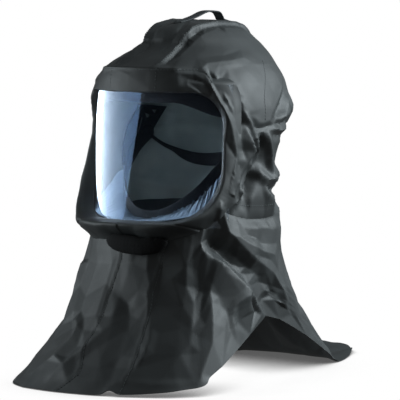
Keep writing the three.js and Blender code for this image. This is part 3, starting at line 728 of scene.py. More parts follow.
hood_angles = np.concatenate([np.arange(-180, -46, 2.1), np.arange(-46, 130, 0.82),
                              np.arange(130, 179.2, 2.0)])
hood_shares = np.concatenate([[0.0015], np.linspace(0.012, 1, 150)])
hood_plain = hood_cut(hood_angles[:, None] + 0 * hood_shares[None, :],
                      0 * hood_angles[:, None] + hood_shares[None, :])
hood_up = surface_normals(hood_plain, True)
hood_lift = rise_on(hood_plain, hood_up, hood_rise)
lively = clamp(np.abs(hood_lift - eased(hood_lift, 8)) / 0.4)      # taut cloth keeps its smooth bend
broken_share = 0.15 + 0.73 * clamp(1.8 * eased(lively, 10))
hood_grid, corners = creased(hood_plain + hood_up * hood_lift[..., None], hood_lift, 5, 30, broken_share, 2)
hood_lift = np.sum((hood_grid - hood_plain) * hood_up, axis=-1)
print("hood has", corners, "corners of facets")
middle = ((hood_angles + np.append(hood_angles[1:], 180)) / 2)[:, None]
level = ((hood_shares[1:] + hood_shares[:-1]) / 2)[None, :] * neck_share(middle)
window_cells = (np.abs(middle) < WINDOW["half"]) & (level > share_at(WINDOW["high"]))
window_cells = window_cells & (level < share_at(blend(WINDOW_FOOT, hood_angles)[0])[:, None])
# The hood's inner faces get the pale inner side, which is partly painted light inside the hood.
hood = cloth_piece("hood", hood_grid, hood_cloth, HOOD_THICK, ring=True,
                   keep=~window_cells, crown=True, inside=hood_inside_painted_light)
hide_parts("hood_shell")

# %% [markdown]
# ## Shoulder cape
# Below the neck seam the cloth flares into a bib in front, two arches over the shoulders and a lobe
# behind that meets the floor and trails over it. Each column falls from the neck to a place on the
# hem, spreading late, as stiff cloth does that stands on its own edge. The hem table holds the angle,
# the foot's place, and how far the column trails over the floor.

# %% Cape form
NECK_Z = 213.4
FLARE = 1.75
# angle, foot x, foot y, foot z, trail x, trail y
HEM = [
    (-30, -104, -249, 1.5, 0, 0), (-15, -54, -255, 1.5, 0, 0), (0, 0, -252, 1.5, 0, 0),
    (8, 31, -246, 3, 0, 0), (11.5, 44, -242, 10, 0, 0), (15, 58, -238, 4, 0, 0), (30, 116, -206, 8, 0, 0),
    (38, 140, -178, 12, 0, 0), (42, 150.5, -162, 14, 0, 0), (44, 154, -154, 17, 0, 0),
    (46, 154, -147, 22, 0, 0),
    (52, 152, -130, 34, 0, 0), (65, 141, -78, 55, 0, 0), (79, 128, -14, 78, 0, 0),
    (92, 117, 32, 90, 0, 0), (104, 114, 87, 71, 0, 0), (117, 110, 155, 40, 0, 0),
    (129, 103, 222, 2.2, 1, 6), (142, 78, 235, 2.2, 7, 48), (155, 50, 240, 2.2, 8, 94),
    (168, 24, 242, 2.2, 8, 120), (180, 0, 243, 2.2, -6, 128),
    (192, -24, 242, 2.2, -16, 130), (205, -50, 240, 2.2, -16, 106), (218, -78, 235, 2.2, -10, 62),
    (231, -101, 222, 2.2, -2, 8), (243, -110, 155, 40, 0, 0), (256, -114, 87, 71, 0, 0),
    (268, -117, 32, 90, 0, 0), (281, -128, -14, 78, 0, 0), (295, -138, -85, 50, 0, 0),
    (308, -152, -156, 22, 0, 0), (317, -154, -212, 2, 0, 0), (330, -104, -249, 1.5, 0, 0),
    (345, -54, -255, 1.5, 0, 0), (360, 0, -252, 1.5, 0, 0), (375, 58, -241, 1.5, 0, 0),
]
DROP = np.linspace(0, 1, 17)            # places on a column's way down
TRAIL = np.linspace(0, 1, 7)[1:]        # places on its way over the floor


def cape_form(angle, share):
    """Plain form of the cape: share 0 at the neck seam, 1 at the hem."""
    angle, share = np.broadcast_arrays(np.asarray(angle, float), np.asarray(share, float))
    shape = angle.shape
    angle, share = angle.ravel(), share.ravel()
    neck = hood_form(angle, neck_share(angle)) - [0, 0, 0.6]
    x, y, z, trail_x, trail_y = blend(HEM, np.where(angle < -30, angle + 360, angle))
    foot = np.stack([x, y, z], -1)
    spread = (DROP**FLARE)[None, :, None]
    column = neck[:, None] + (foot - neck)[:, None] * spread
    column[..., 2] = neck[:, 2:] + (z[:, None] - neck[:, 2:]) * DROP
    trail = np.stack([trail_x, trail_y, 0 * z], -1) * (np.hypot(trail_x, trail_y) > 4)[:, None]
    column = np.concatenate([column, foot[:, None] + trail[:, None] * TRAIL[None, :, None]], 1)
    step = np.linalg.norm(np.diff(column, axis=1), axis=2)
    run = np.concatenate([np.zeros((len(angle), 1)), np.cumsum(step, 1)], 1)
    want = clamp(share) * run[:, -1]
    k = np.clip((run < want[:, None] - 1e-9).sum(1), 1, run.shape[1] - 1)
    row = np.arange(len(angle))
    part = (want - run[row, k - 1]) / np.maximum(step[row, k - 1], 1e-9)
    before, after = column[row, k - 1], column[row, k]
    return (before + (after - before) * part[:, None]).reshape(shape + (3,))


print("bib foot", np.round(cape_form(0.0, 1.0), 1))

# %% [markdown]
# ## The folds of the cape
# The strongest fold starts at the corner of the visor's lip, crosses the bib and ends at the top of the
# shoulder arch, with a deep hollow beside it. The neck folds fall to the back from there. The bib has
# flat facets with crisp creases, as coated cloth has that was packed flat.

# %% Cape folds
SIDE_FOLDS = {
    "bib ridge": ([(44, 0.01, 4), (51, 0.18, 7), (58, 0.32, 10), (66, 0.44, 12), (72, 0.56, 13),
                   (77, 0.68, 13),
                   (80, 0.79, 11), (84, 0.90, 8), (88, 1, 4)], 46, 14, 0.8),
    "big hollow": ([(48, 0, -5), (51, 0.09, -8), (58, 0.23, -10), (66, 0.33, -9), (76, 0.43, -7),
                    (84, 0.56, -3), (90, 0.66, 0)], 15, 18, 0.3),
    "neck fold": ([(63, 0.05, 5), (65, 0.12, 8), (72, 0.19, 9), (80, 0.30, 9), (88, 0.42, 7),
                   (94, 0.51, 4),
                   (102, 0.53, 0)], 14, 26, 0.7),
    "upper crease": ([(70, 0.12, 0), (74, 0.17, 3), (86, 0.26, 4), (94, 0.33, 4),
                      (111, 0.31, 0)], 9, 12, 0.8),
    "pocket ridge": ([(96, 0.50, 0), (101, 0.58, 4), (104, 0.68, 5), (103, 0.78, 4), (98, 0.90, 0)],
                     10, 14, 0.7),
    "pocket": ([(86, 0.58, 0), (91, 0.63, -3), (96, 0.70, -5), (95, 0.77, -5), (90, 0.82, -3),
                (86, 0.85, 0)],
               9, 10, 0.4),
    "fork": ([(78, 0.65, 0), (71, 0.67, 3), (66, 0.70, 4), (65, 0.79, 4), (66, 0.90, 3), (67, 1, 2)],
             10, 11, 0.8),
    "arch hollow": ([(75, 0.66, 0), (77, 0.75, -8), (81, 0.88, -9), (83, 1, -6)], 8, 8, 0.5),
    "back edge": ([(118, 0.40, 0), (116, 0.55, 5), (113, 0.72, 5), (108, 0.98, 4)], 14, 14, 0.6),
    "back fold": ([(150, 0.10, 0), (148, 0.22, 7), (146, 0.40, 8), (144, 0.58, 0)], 18, 22, 0.5),
    "back dip": ([(132, 0.14, 0), (130, 0.30, -5), (128, 0.50, -6), (127, 0.68, 0)], 16, 16, 0.3),
}
BIB_FOLDS = {
    "bib shoulder": ([(43, 0.03, 0), (38, 0.10, 1.8), (35, 0.20, 2.4), (34, 0.33, 2.4), (36, 0.45, 1.8),
                      (38, 0.60, 0)], 16, 20, 0.9),
    "bib hollow": ([(47, 0.12, 0), (46, 0.25, -2.4), (46, 0.40, -3), (44, 0.55, -2.4), (42, 0.70, 0)],
                   14, 14, 0.9),
    "upright crease": ([(54, 0.34, 0), (53, 0.45, 1.8), (52, 0.60, 2.4), (50, 0.75, 2.4), (48, 0.88, 0)],
                       9, 14, 0.9),
    "corner crease": ([(49, 0.50, 0), (45, 0.64, 2.4), (45.5, 0.76, 2.4), (42, 0.88, 2.4), (40, 0.97, 0)],
                      9, 10, 0.9),
    "facet": ([(41, 0.30, 0), (42, 0.42, 1.8), (40, 0.56, 2.4), (39, 0.66, 1.8),
               (38, 0.80, 0)], 9, 9, 0.9),
    "streak by the left seam": ([(23, 0.22, 0), (18, 0.30, 3), (17.5, 0.38, 4), (19, 0.46, 2),
                                 (22, 0.60, 3),
                                 (21, 0.73, 4), (20, 0.88, 0)], 5, 10, 0.9),
    "middle dent": ([(8, 0.20, 0), (7, 0.35, -1.2), (8, 0.50, -1.8), (6, 0.66, -1.2),
                     (4, 0.80, 0)], 18, 18, 0.9),
    "long streak": ([(4, 0.50, 0), (0, 0.58, 4), (-4, 0.66, 5), (-10, 0.76, 5), (-16, 0.89, 3),
                     (-19, 0.96, 0)], 9, 7, 0.6),
    "chin facet": ([(0, 0.28, 0), (3, 0.36, 1.8), (1, 0.46, 1.8), (-2, 0.52, 0)], 7, 9, 0.9),
    "right neck fold": ([(-35, 0.06, 0), (-38, 0.12, 5), (-41, 0.19, 6), (-40, 0.33, 4), (-38, 0.45, 0)],
                        9, 9, 0.5),
    "right facet": ([(-33, 0.44, 0), (-26, 0.50, 4), (-17, 0.57, 5), (-18, 0.66, 4), (-22, 0.76, 3),
                     (-25, 0.85, 0)], 8, 10, 0.6),
    "hem crease": ([(-28, 0.76, 0), (-14, 0.82, 2), (-4, 0.87, 3), (10, 0.89, 3), (26, 0.94, 3),
                    (39, 0.95, 2), (44, 0.93, 0)], 8, 14, 0.6),
    "back hollow": ([(179, 0.08, 0), (177, 0.22, -6), (174, 0.42, -7), (172, 0.58, 0)], 22, 24, 0.1),
    "tail ripple": ([(165, 0.62, 0), (166, 0.75, 4), (167, 0.90, 6), (168, 1, 7)], 10, 12, 0.2),
}

# the two seams of the bib as angle and share of the way down
BIB_SEAMS = {
    "right": [(-1, 0.05), (-1, 0.12), (-2, 0.20), (-4, 0.36), (-4, 0.51), (-6, 0.70), (-4, 0.86),
              (-6, 0.91),
              (-11, 1)],
    "left": [(26, 0.03), (24, 0.14), (22, 0.24), (20, 0.35), (20, 0.43), (19, 0.55), (18, 0.69),
             (17, 0.82),
             (16, 0.92), (15, 1)],
}


def cape_folds():
    random = np.random.default_rng(5)
    for crest, right_hand, left_hand, crisp in SIDE_FOLDS.values():
        yield crest, right_hand, left_hand, crisp
        turn, slide = random.uniform(-3, 3), random.uniform(-0.03, 0.03)
        other = [(-a + turn, clamp(t + slide), rise * HIDDEN_SIDE) for a, t, rise in crest]
        yield other, left_hand, right_hand, crisp
    yield from BIB_FOLDS.values()


def cape_rise(place, normal):
    """Rise of the cape over its plain form; the cloth that lies on the floor keeps to it."""
    rise = sum(fold_rise(place, normal, cape_form, *fold) for fold in cape_folds())
    round_way = round_length(place, CAPE_DEGREE)
    rise = rise + facets(round_way, place[:, 2], 30, 60, 4.4, 21)
    rise = rise + crumple(place * [1, 1, 0.5], 42, 1.8, 3)
    return rise * (0.12 + 0.88 * ease((place[:, 2] - 3) / 26))


def seam_rise(place, normal):
    """Rise of the bib's seams: a doubled strip on one side and a groove along the stitches."""
    rise = 0
    for line in BIB_SEAMS.values():
        rise = rise + fold_rise(place, normal, cape_form, [(a, t, 0.8) for a, t in line], 7, 2, 0.7)
        rise = rise + fold_rise(place, normal, cape_form, [(a, t, -1.2) for a, t in line], 1.9, 1.9, 0.7)
    return rise


print(len(SIDE_FOLDS), "folds on each side,", len(BIB_FOLDS), "on the bib and the back")

# %% [markdown]
# ## Cape cloth
# The columns are the hood's own, so the cape can start under the hood's edge and follow its folds
# there, which is how a lapped seam looks. The knee where the lobe meets the floor is rounded by
# averaging each column with its neighbours a few times.

# %% Cape cloth
CAPE_THICK = 1.2
LAP = 0.5                     # how far the cape's edge lies inside the hood's
TAIL_RISE = 3.5               # mean height of the waves at the end of the back lobe
FLOOR_GAP = 1.4               # lowest that the cape's outer side comes


def rounded(grid, times):
    """Grid with each column smoothed along its length."""
    for _ in range(times):
        grid[:, 1:-1] = 0.5 * grid[:, 1:-1] + 0.25 * (grid[:, :-2] + grid[:, 2:])
    return grid


cape_shares = np.linspace(0, 1, 112)
cape_plain = rounded(cape_form(hood_angles[:, None], cape_shares[None, :]).copy(), 10)
cape_normal = surface_normals(cape_plain, True)
cape_lift = rise_on(cape_plain, cape_normal, cape_rise)
calm_floor = 0.97 * ease((cape_plain[..., 2] - 6) / 20)
on_side = (np.abs(hood_angles) > 43) & (np.abs(hood_angles) < 125)
crease_gap = np.where(on_side, 6.0, 13.0)[:, None]       # the bib breaks into larger facets than the neck
folded_cape = cape_plain + cape_normal * cape_lift[..., None]
cape_grid, corners = creased(folded_cape, cape_lift, crease_gap, 44, calm_floor, 4)
print("cape has", corners, "corners of facets")
sewn_rise = rise_on(cape_plain, cape_normal, seam_rise)
round_way = round_length(cape_plain, CAPE_DEGREE)
small = facets(round_way, cape_plain[..., 2], 22, 44, 1.4, 22) * ease((cape_plain[..., 2] - 5) / 12)
cape_grid = cape_grid + cape_normal * (sewn_rise + small)[..., None]
hood_normal = surface_normals(hood_grid, True)
seam = hood_grid[:, -1] - LAP * hood_normal[:, -1]
fade = (1 - ease(cape_shares / 0.10))[None, :, None]
cape_grid = cape_grid + (seam - cape_grid[:, 0])[:, None] * fade
cape_grid = np.concatenate([(hood_grid[:, -3] - LAP * hood_normal[:, -3])[:, None], cape_grid], 1)
tail_wave = TAIL_RISE + TAIL_RISE * np.sin(hood_angles * 0.24) * np.sin(hood_angles * 0.07)
tail_part = ease((np.abs(hood_angles) - 143) / 14)[:, None] * ease((cape_shares - 0.84) / 0.16)[None, :]
cape_grid[:, 1:, 2] += tail_wave[:, None] * tail_part
cape_grid[..., 2] = np.maximum(cape_grid[..., 2], FLOOR_GAP)
cape = cloth_piece("cape", cape_grid, hood_cloth, CAPE_THICK, ring=True)
cape_low = np.array([v.co[:] for v in cape.data.vertices])[:, 2].min()
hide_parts("shoulder_cape")
print("cape's lowest point", round(float(cape_low), 5))

# %% [markdown]
# ## Brow band and lip of the visor
# Two sewn strips frame the visor: a band across the brow and a thick turned lip down the sides and
# under the chin. A strip is a grid too: one way runs along the frame, the other from the clear edge
# out to the cloth. It lies on the visor or on the hood, whichever is further out, so it follows the
# hood's folds, and a profile lifts its crest. The lip stands out most at the foot.

# %% Frame strips
VISOR = {"radius": 130.0, "top_y": -4.0, "foot_y": -15.0}
EDGE_SEAT = -0.9             # brings the strips' clear edge to 0.4 millimetres from the visor
CLEAR_EDGE = {"half": 136, "low": 233.5, "high": 412, "foot": 76, "head": 50}
CLOTH_EDGE = {"half": 167, "low": 200, "high": 446, "foot": 62, "head": 56}
RUN_ENDS = {"foot": 0.26, "corner": 0.50, "side": 0.70, "head": 0.84}    # shares of half the frame
# height, how far the lip stands out
LIP = [(200, 22), (236, 22), (262, 22), (285, 20), (302, 17), (319, 13), (337, 9), (354, 5),
       (371, 3.4), (450, 3.2)]
# the same on the wearer's left, where the flap stands out instead
LIP_LEFT = [(200, 20), (234, 20), (250, 15), (262, 12), (285, 8), (302, 5), (319, 3.4), (450, 3.2)]
# length round the bend from the middle, height of the lip's lower edge, which sags over the chin grip
LIP_FOOT = [(-190, 205), (-50, 203), (-14, 207), (20, 208), (36, 201), (50, 200), (62, 206), (85, 213),
            (110, 220), (133, 236), (167, 260), (190, 262)]
# way across the strip, share of the lip's height
LIP_PROFILE = [(0, 0.0), (0.03, 0.5), (0.08, 0.88), (0.16, 1.0), (0.30, 0.96), (0.48, 0.74), (0.66, 0.44),
               (0.84, 0.17), (1, 0.02)]


def bend_centre(z):
    down = clamp((WINDOW["high"] - z) / (WINDOW["high"] - WINDOW["low"]))
    return VISOR["top_y"] + (VISOR["foot_y"] - VISOR["top_y"]) * down


def bend_at(side, z, out):
    """Place on the visor's bend: length round the bend, height, distance out from its face."""
    turn, r = side / VISOR["radius"], VISOR["radius"] + out
    return np.stack([r * np.sin(turn), bend_centre(z) - r * np.cos(turn), z + 0 * r], -1)


def cloth_out(side, z):
    """How far the hood's plain cloth lies outside the visor's bend, and its angle there."""
    low, high = np.zeros_like(side), np.full_like(side, 130.0)
    level = np.maximum(z, NECK_Z + 0.6)
    for _ in range(26):
        angle = (low + high) / 2
        p = hood_at(angle, level)
        short = np.arctan2(p[..., 0], bend_centre(z) - p[..., 1]) < np.abs(side) / VISOR["radius"]
        low, high = np.where(short, angle, low), np.where(short, high, angle)
    p = hood_at(low, level)
    return np.hypot(p[..., 0], bend_centre(z) - p[..., 1]) - VISOR["radius"], np.sign(side) * low


def grid_place(value, along):
    """Place of a value among the columns or rows of a grid, with its part of the way to the next."""
    return np.clip(np.interp(value, along, np.arange(len(along))), 0, len(along) - 1.001)


def between(field, i, j):
    """Numbers or places of a grid, read between its points."""
    a, b = i.astype(int), j.astype(int)
    x, y = i - a, j - b
    if field.ndim == 3:
        x, y = x[..., None], y[..., None]
    upper = field[a, b] * (1 - x) + field[a + 1, b] * x
    lower = field[a, b + 1] * (1 - x) + field[a + 1, b + 1] * x
    return upper * (1 - y) + lower * y


def lift_at(angle, share):
    """Rise of the creased hood over its plain form, read from its grid."""
    return between(hood_lift, grid_place(angle, hood_angles),
                   grid_place(share / neck_share(angle), hood_shares))


def frame_edge(edge, k):
    """Length round the bend and height of one edge of the frame at a share of half its way."""
    low, high = edge["low"] + edge["foot"], edge["high"] - edge["head"]
    ends = [0, RUN_ENDS["foot"], RUN_ENDS["corner"], RUN_ENDS["side"], RUN_ENDS["head"], 1]
    part = [clamp((k - a) / (b - a)) for a, b in zip(ends, ends[1:])]
    foot_turn, head_turn = part[1] * np.pi / 2, part[3] * np.pi / 2
    inner_foot, inner_head = edge["half"] - edge["foot"], edge["half"] - edge["head"]
    where = [k < e for e in ends[1:5]]
    side = np.select(where, [inner_foot * part[0], inner_foot + edge["foot"] * np.sin(foot_turn),
                             edge["half"] + 0 * k, inner_head + edge["head"] * np.cos(head_turn)],
                     inner_head * (1 - part[4]))
    z = np.select(where, [edge["low"] + 0 * k, low - edge["foot"] * np.cos(foot_turn),
                          low + (high - low) * part[2], high + edge["head"] * np.sin(head_turn)],
                  edge["high"] + 0 * k)
    return side, z


def frame_grid(ks, across):
    """Grid of a strip: ks are signed shares along the frame, across runs from clear edge to cloth."""
    turn = np.where(ks < 0, -1.0, 1.0)[:, None]
    side_in, z_in = (v[:, None] for v in frame_edge(CLEAR_EDGE, np.abs(ks)))
    side_out, z_out = (v[:, None] for v in frame_edge(CLOTH_EDGE, np.abs(ks)))
    z_out = np.maximum(z_out, blend(LIP_FOOT, turn * side_out)[0])
    f = across[None, :]
    side, z = turn * (side_in + (side_out - side_in) * f), z_in + (z_out - z_in) * f
    out, angle = cloth_out(side, z)
    fold = lift_at(angle, share_at(np.maximum(z, NECK_Z + 0.6)))
    give = 40 * ease((z - 424) / 22) * ease((np.abs(side) - 62) / 50)
    ground = np.maximum(out + fold, 0.9 - 1.2 * f - give)
    ground = EDGE_SEAT + (ground - EDGE_SEAT) * ease(f / 0.05)         # the turned edge meets the visor
    lip = np.where(turn < 0, blend(LIP, z_in)[0], blend(LIP_LEFT, z_in)[0]) * blend(LIP_PROFILE, f)[0]
    flat_band = ease((np.abs(ks)[:, None] - 0.80) / 0.06)
    lip = lip + (1.6 * ease(f / 0.06) - lip) * flat_band
    mitre = 2.0 * np.exp(-((np.abs(ks)[:, None] - 0.275) / 0.006) ** 2) * ease(f / 0.2)
    sunk = 2.6 * ease((f - 0.55) / 0.45) * ease((np.abs(ks)[:, None] - 0.42) / 0.08)
    sunk = sunk * (1 - ease((np.abs(ks)[:, None] - 0.84) / 0.05))
    broken = facets(side, z, 21, 24, 2.0, 31) * ease((f - 0.04) / 0.25) * (1 - flat_band)
    return bend_at(side, z, ground + lip + broken - mitre - sunk + 0.3 + 1.0 * (1 - f))


STRIP_THICK = 1.2
BAND_END = 0.803              # where the brow band meets the lip
strip_across = np.concatenate([np.linspace(0, 0.2, 9), np.linspace(0.2, 1, 18)[1:]])
lip_ks = np.linspace(-BAND_END, BAND_END, 520)
lip = cloth_piece("visor_lip", frame_grid(lip_ks, strip_across), hood_cloth, STRIP_THICK)
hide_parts("visor_surround")
half_band = np.linspace(BAND_END, 1, 90)
band_ks = np.concatenate([-half_band, half_band[::-1][1:]])
band = cloth_piece("brow_band_cloth", frame_grid(band_ks, strip_across)[:, ::-1], hood_cloth, STRIP_THICK)
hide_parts("brow_band")

# %% [markdown]
# ## Visor
# The visor is one sheet of clear plastic, bent round a leaning cylinder, with a faint blue cast. A real
# sheet has two faces and an edge, and the edge is what shows its thickness. The glass doesn't cast a
# shadow, because light passes it, and the path tracer would otherwise leave the inside black.

# %% Visor
def clear_plastic():
    made, tree, shader = new_material("clear visor plastic", Base_Color=colour("#eef3fb"), IOR=1.22,
                                      Transmission_Weight=1.0, Specular_IOR_Level=0.2,
                                      Specular_Tint=colour("#a9cdfa"))
    haze = add_node(tree, "ShaderNodeMapRange", {"Value": grain(tree, 30, 2.0)},
                    {"To Min": 0.0, "To Max": 0.03})
    tree.links.new(haze.outputs["Result"], shader.inputs["Roughness"])
    return made


VISOR_THICK = 1.6
visor_z = np.linspace(WINDOW["high"] - 1, WINDOW["low"] + 1, 24)
visor_reach = 150.0           # half its length round the bend
visor_side = np.linspace(-visor_reach, visor_reach, 121)
visor_grid = bend_at(visor_side[:, None] + 0 * visor_z[None, :],
                     0 * visor_side[:, None] + visor_z[None, :], 0.0)
visor = cloth_piece("visor_pane", visor_grid, clear_plastic(), VISOR_THICK)
visor.visible_shadow = False
mirrored = bpy.data.collections.new("panel_lights_only")
mirrored.objects.link(visor)
panel.light_linking.receiver_collection = mirrored
unlit = bpy.data.collections.new("left_light_skips")
unlit.objects.link(visor)
unlit.collection_objects[0].light_linking.link_state = "EXCLUDE"
left.light_linking.receiver_collection = unlit
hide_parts("visor")

# %% [markdown]
# ## Finishes of the small pieces
# Woven tape, foam fabric, elastic and thin cloth are all textiles, so one function makes them from two
# tones, the pitch of their threads and a roughness. The harness is moulded plastic: a finer grain and
# a lower roughness give it the dull shine that tells it from cloth.

# %% Small finishes
def textile(name, dark, light, pitch_mm, rough, depth):
    made, tree, shader = new_material(name, Roughness=rough, Specular_IOR_Level=0.25)
    threads = weave(tree, pitch_mm)
    tree.links.new(two_tone(tree, grain(tree, pitch_mm * 6, 3.0), dark, light), shader.inputs["Base Color"])
    tree.links.new(bump(tree, threads, 0.5, depth), shader.inputs["Normal"])
    return made


def moulded(name, dark, light):
    made, tree, shader = new_material(name, Specular_IOR_Level=0.2)
    tree.links.new(two_tone(tree, grain(tree, 12, 3.0), dark, light), shader.inputs["Base Color"])
    wear = add_node(tree, "ShaderNodeMapRange", {"Value": grain(tree, 5, 4.0)},
                    {"To Min": 0.42, "To Max": 0.55})
    tree.links.new(wear.outputs["Result"], shader.inputs["Roughness"])
    tree.links.new(bump(tree, grain(tree, 0.6, 2.0), 0.15, 0.0001), shader.inputs["Normal"])
    return made


tape_webbing = textile("ribbed webbing", "#232627", "#34383a", 1.6, 0.7, 0.0004)
pad_fabric = textile("foam pad fabric", "#060708", "#0b0c0e", 0.9, 0.9, 0.0003)
band_elastic = textile("elastic band", "#08090a", "#101112", 1.2, 0.9, 0.0003)
thin_cloth = textile("thin seal cloth", "#5a6670", "#707c87", 0.5, 0.8, 0.0002)
harness_plastic = moulded("moulded black plastic", "#050606", "#0a0b0b")
print("small finishes ready")

# %% [markdown]
# ## Strips
# The loop, the sweat pad, the strap, the elastic and the chin grip are all long pieces with a rounded
# box for a section. Blender's curves could bevel one, but their section keeps its shape; here each
# ring of the strip can be wider, thinner or rounder than the last, and the ends are closed.

# %% Strip tool
def strip(name, line, wide_way, half_wide, half_thick, material, power=4.0, around=24):
    """Closed strip along a line in millimetres; half_wide and half_thick may change along it."""
    line = np.asarray(line, float)
    count = len(line)
    along = np.gradient(line, axis=0)
    along = along / np.linalg.norm(along, axis=1, keepdims=True)
    wide = np.asarray(wide_way, float) + 0 * line
    wide = wide - along * np.sum(wide * along, axis=1, keepdims=True)
    wide = wide / np.linalg.norm(wide, axis=1, keepdims=True)
    thick = np.cross(along, wide)
    turn = np.linspace(0, 2 * np.pi, around, endpoint=False)
    c = np.sign(np.cos(turn)) * np.abs(np.cos(turn)) ** (2 / power)
    s = np.sign(np.sin(turn)) * np.abs(np.sin(turn)) ** (2 / power)
    half_wide, half_thick = half_wide + np.zeros(count), half_thick + np.zeros(count)
    points = line[:, None] + wide[:, None] * (half_wide[:, None] * c)[..., None]
    points = points + thick[:, None] * (half_thick[:, None] * s)[..., None]
    vs = runs(np.linalg.norm(np.diff(line, axis=0), axis=1)) * 0.001
    us = np.linspace(0, 1, around + 1) * 2 * (half_wide.max() + half_thick.max()) * 0.002
    faces, uv = [], []
    for i in range(count - 1):
        for j in range(around):
            n = (j + 1) % around
            faces.append([i * around + j, i * around + n, (i + 1) * around + n, (i + 1) * around + j])
            uv += [(us[j], vs[i]), (us[j + 1], vs[i]), (us[j + 1], vs[i + 1]), (us[j], vs[i + 1])]
    last = (count - 1) * around
    faces += [list(range(around))[::-1], list(range(last, last + around))]
    uv += [(us[j], vs[0]) for j in range(around)] + [(us[j], vs[-1]) for j in range(around)]
    made = add_piece(name, points.reshape(-1, 3), faces, material, uv)
    print(name, "is", round(float(vs[-1]) * 1000), "mm long")
    return made


def round_ends(count, share, power=2.0):
    """Factor along a strip that closes both ends in a round."""
    u = np.linspace(0, 1, count)
    near = clamp(np.minimum(u, 1 - u) / share)
    return np.maximum((1 - (1 - near) ** power) ** (1 / power), 0.04)


def inside_wall(angle, z, deep):
    """Place inside the hood's plain wall."""
    p = hood_at(angle, z)
    away = (p - [0, 10, 0]) * [1, 1, 0]
    return p - away / np.linalg.norm(away, axis=-1, keepdims=True) * np.asarray(deep)[..., None]


print("strip tool ready")

# %% [markdown]
# ## Carry loop
# A tape of webbing is sewn flat to the crown at both ends and stands up in between. Its line follows
# the crown as it came out with its folds, so the sewn ends lie on the cloth. The table gives the place
# from front to back and the height over the crown.

# %% Carry loop
LOOP = [(-30, 0), (-14, 0), (8, 3.5), (36, 10.5), (54, 11), (64, 9.5), (70, 4), (74, 0), (88, 0)]
front_column, back_column = np.argmin(np.abs(hood_angles)), np.argmin(hood_angles)
crown_line = np.concatenate([hood_grid[front_column, ::-1], hood_grid[back_column]])
loop_line = smooth_line(LOOP, 12)
crown_top = np.interp(loop_line[:, 0], crown_line[:, 1], crown_line[:, 2])
loop_path = np.stack([0 * crown_top, loop_line[:, 0], crown_top + loop_line[:, 1] + 1.4], -1)
carry_loop = strip("carry_loop_tape", loop_path, (1, 0, 0), 7.5, 1.2, tape_webbing, power=6)
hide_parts("carry_loop")

# %% [markdown]
# ## Sweat pad, plates and strap of the harness
# The pad lies round the brow behind the visor and drops at its ends. Two plates hang at the temples,
# cut from a sheet with openings in it, so a filled Blender curve makes them: its outline and its holes
# are splines, and the flat plate is then laid on the hood's inner wall. The strap runs from plate to
# plate round the nape and is widest there.

# %% Harness
pad_side = np.linspace(-148, 148, 130)
pad_drop = 22 * ease((np.abs(pad_side) - 60) / 88)
pad_line = bend_at(pad_side, 410 - pad_drop, -6.8)
brow_pad = strip("brow_pad_foam", pad_line, (0, 0, 1), 12 * round_ends(130, 0.04),
                 3.8 * round_ends(130, 0.05), pad_fabric, power=3.2)
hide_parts("brow_pad")

PLATE = [(97, 386), (119, 381), (113.5, 361), (107.8, 341), (98.5, 322), (90, 300), (84, 298),
         (85, 326), (90, 356)]
PLATE_HOLES = [[(101.5, 373), (106, 369), (103.5, 364)], [(107, 377), (111.5, 376), (109.5, 371)],
               [(99, 366), (100.5, 366), (97.5, 345), (96, 345)]]
PLATE_SCALE = 2.1             # millimetres on the wall for each degree


def harness_plate(name, turn):
    """Plate from a filled curve, laid on the inner wall of one side."""
    shape = bpy.data.curves.new(name, "CURVE")
    shape.dimensions, shape.fill_mode, shape.extrude = "2D", "BOTH", 1.3
    for outline in [PLATE] + PLATE_HOLES:
        spline = shape.splines.new("POLY")
        spline.points.add(len(outline) - 1)
        spline.use_cyclic_u = True
        for point, (angle, z) in zip(spline.points, outline):
            point.co = ((angle - 100) * PLATE_SCALE, z, 0, 1)
    holder = link(bpy.data.objects.new(name + "_outline", shape))
    flat = bpy.data.meshes.new_from_object(holder.evaluated_get(bpy.context.evaluated_depsgraph_get()))
    p = np.array([v.co[:] for v in flat.vertices])
    faces = [list(face.vertices) for face in flat.polygons]
    if turn < 0:
        faces = [face[::-1] for face in faces]
    at = inside_wall(turn * (100 + p[:, 0] / PLATE_SCALE), p[:, 1], 10.5 - p[:, 2])
    bpy.data.objects.remove(holder)
    plate = add_piece(name, at, faces, harness_plastic)
    plate.data.polygons.foreach_set("use_smooth", [False] * len(faces))
    return plate


plate_left = harness_plate("harness_plate_left", 1)
plate_right = harness_plate("harness_plate_right", -1)
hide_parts("temple_plate_left")
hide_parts("temple_plate_right")

# angle from the visor, height, height of the strap
STRAP = [(106, 341, 5), (114, 332, 5), (122, 325, 6), (132, 318.5, 8), (142, 311, 14), (152, 306, 17),
         (161, 304.5, 18.5), (170, 305, 19.5), (180, 307, 20)]
strap_turn = np.linspace(106, 254, 140)
strap_z, strap_tall = blend(STRAP, 180 - np.abs(strap_turn - 180))
strap_line = inside_wall(strap_turn, strap_z, 15 + 0 * strap_z)
nape_strap = strip("nape_strap_band", strap_line, (0, 0, 1), strap_tall / 2, 1.3, harness_plastic, power=5)
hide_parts("nape_strap")
print("harness made")

# %% [markdown]
# ## Face seal
# A dark elastic band runs as a U under the chin and up both cheeks. Thin cloth is gathered on it and
# sewn to the foot of the visor, so it is narrower along the band than along the visor and stands in
# small ruffles. The ruffles are waves across the cloth whose pitch wanders, from a seeded table.

# %% Face seal
SEAL = [(0, 232), (30, 267), (60, 303), (96, 334), (130, 357)]    # distance from the chin, height


def seal_line(turn):
    a = np.radians(turn)
    y = -96 * np.cos(a)
    return np.stack([92 * np.sin(a), y, blend(SEAL, y + 96)[0]], -1)


seal_turn = np.linspace(-106, 106, 180)
seal_band = strip("face_seal_elastic", seal_line(seal_turn), (0, 0, 1), 11.5 * round_ends(180, 0.03), 1.7,
                  band_elastic, power=4)
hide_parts("face_seal_band")

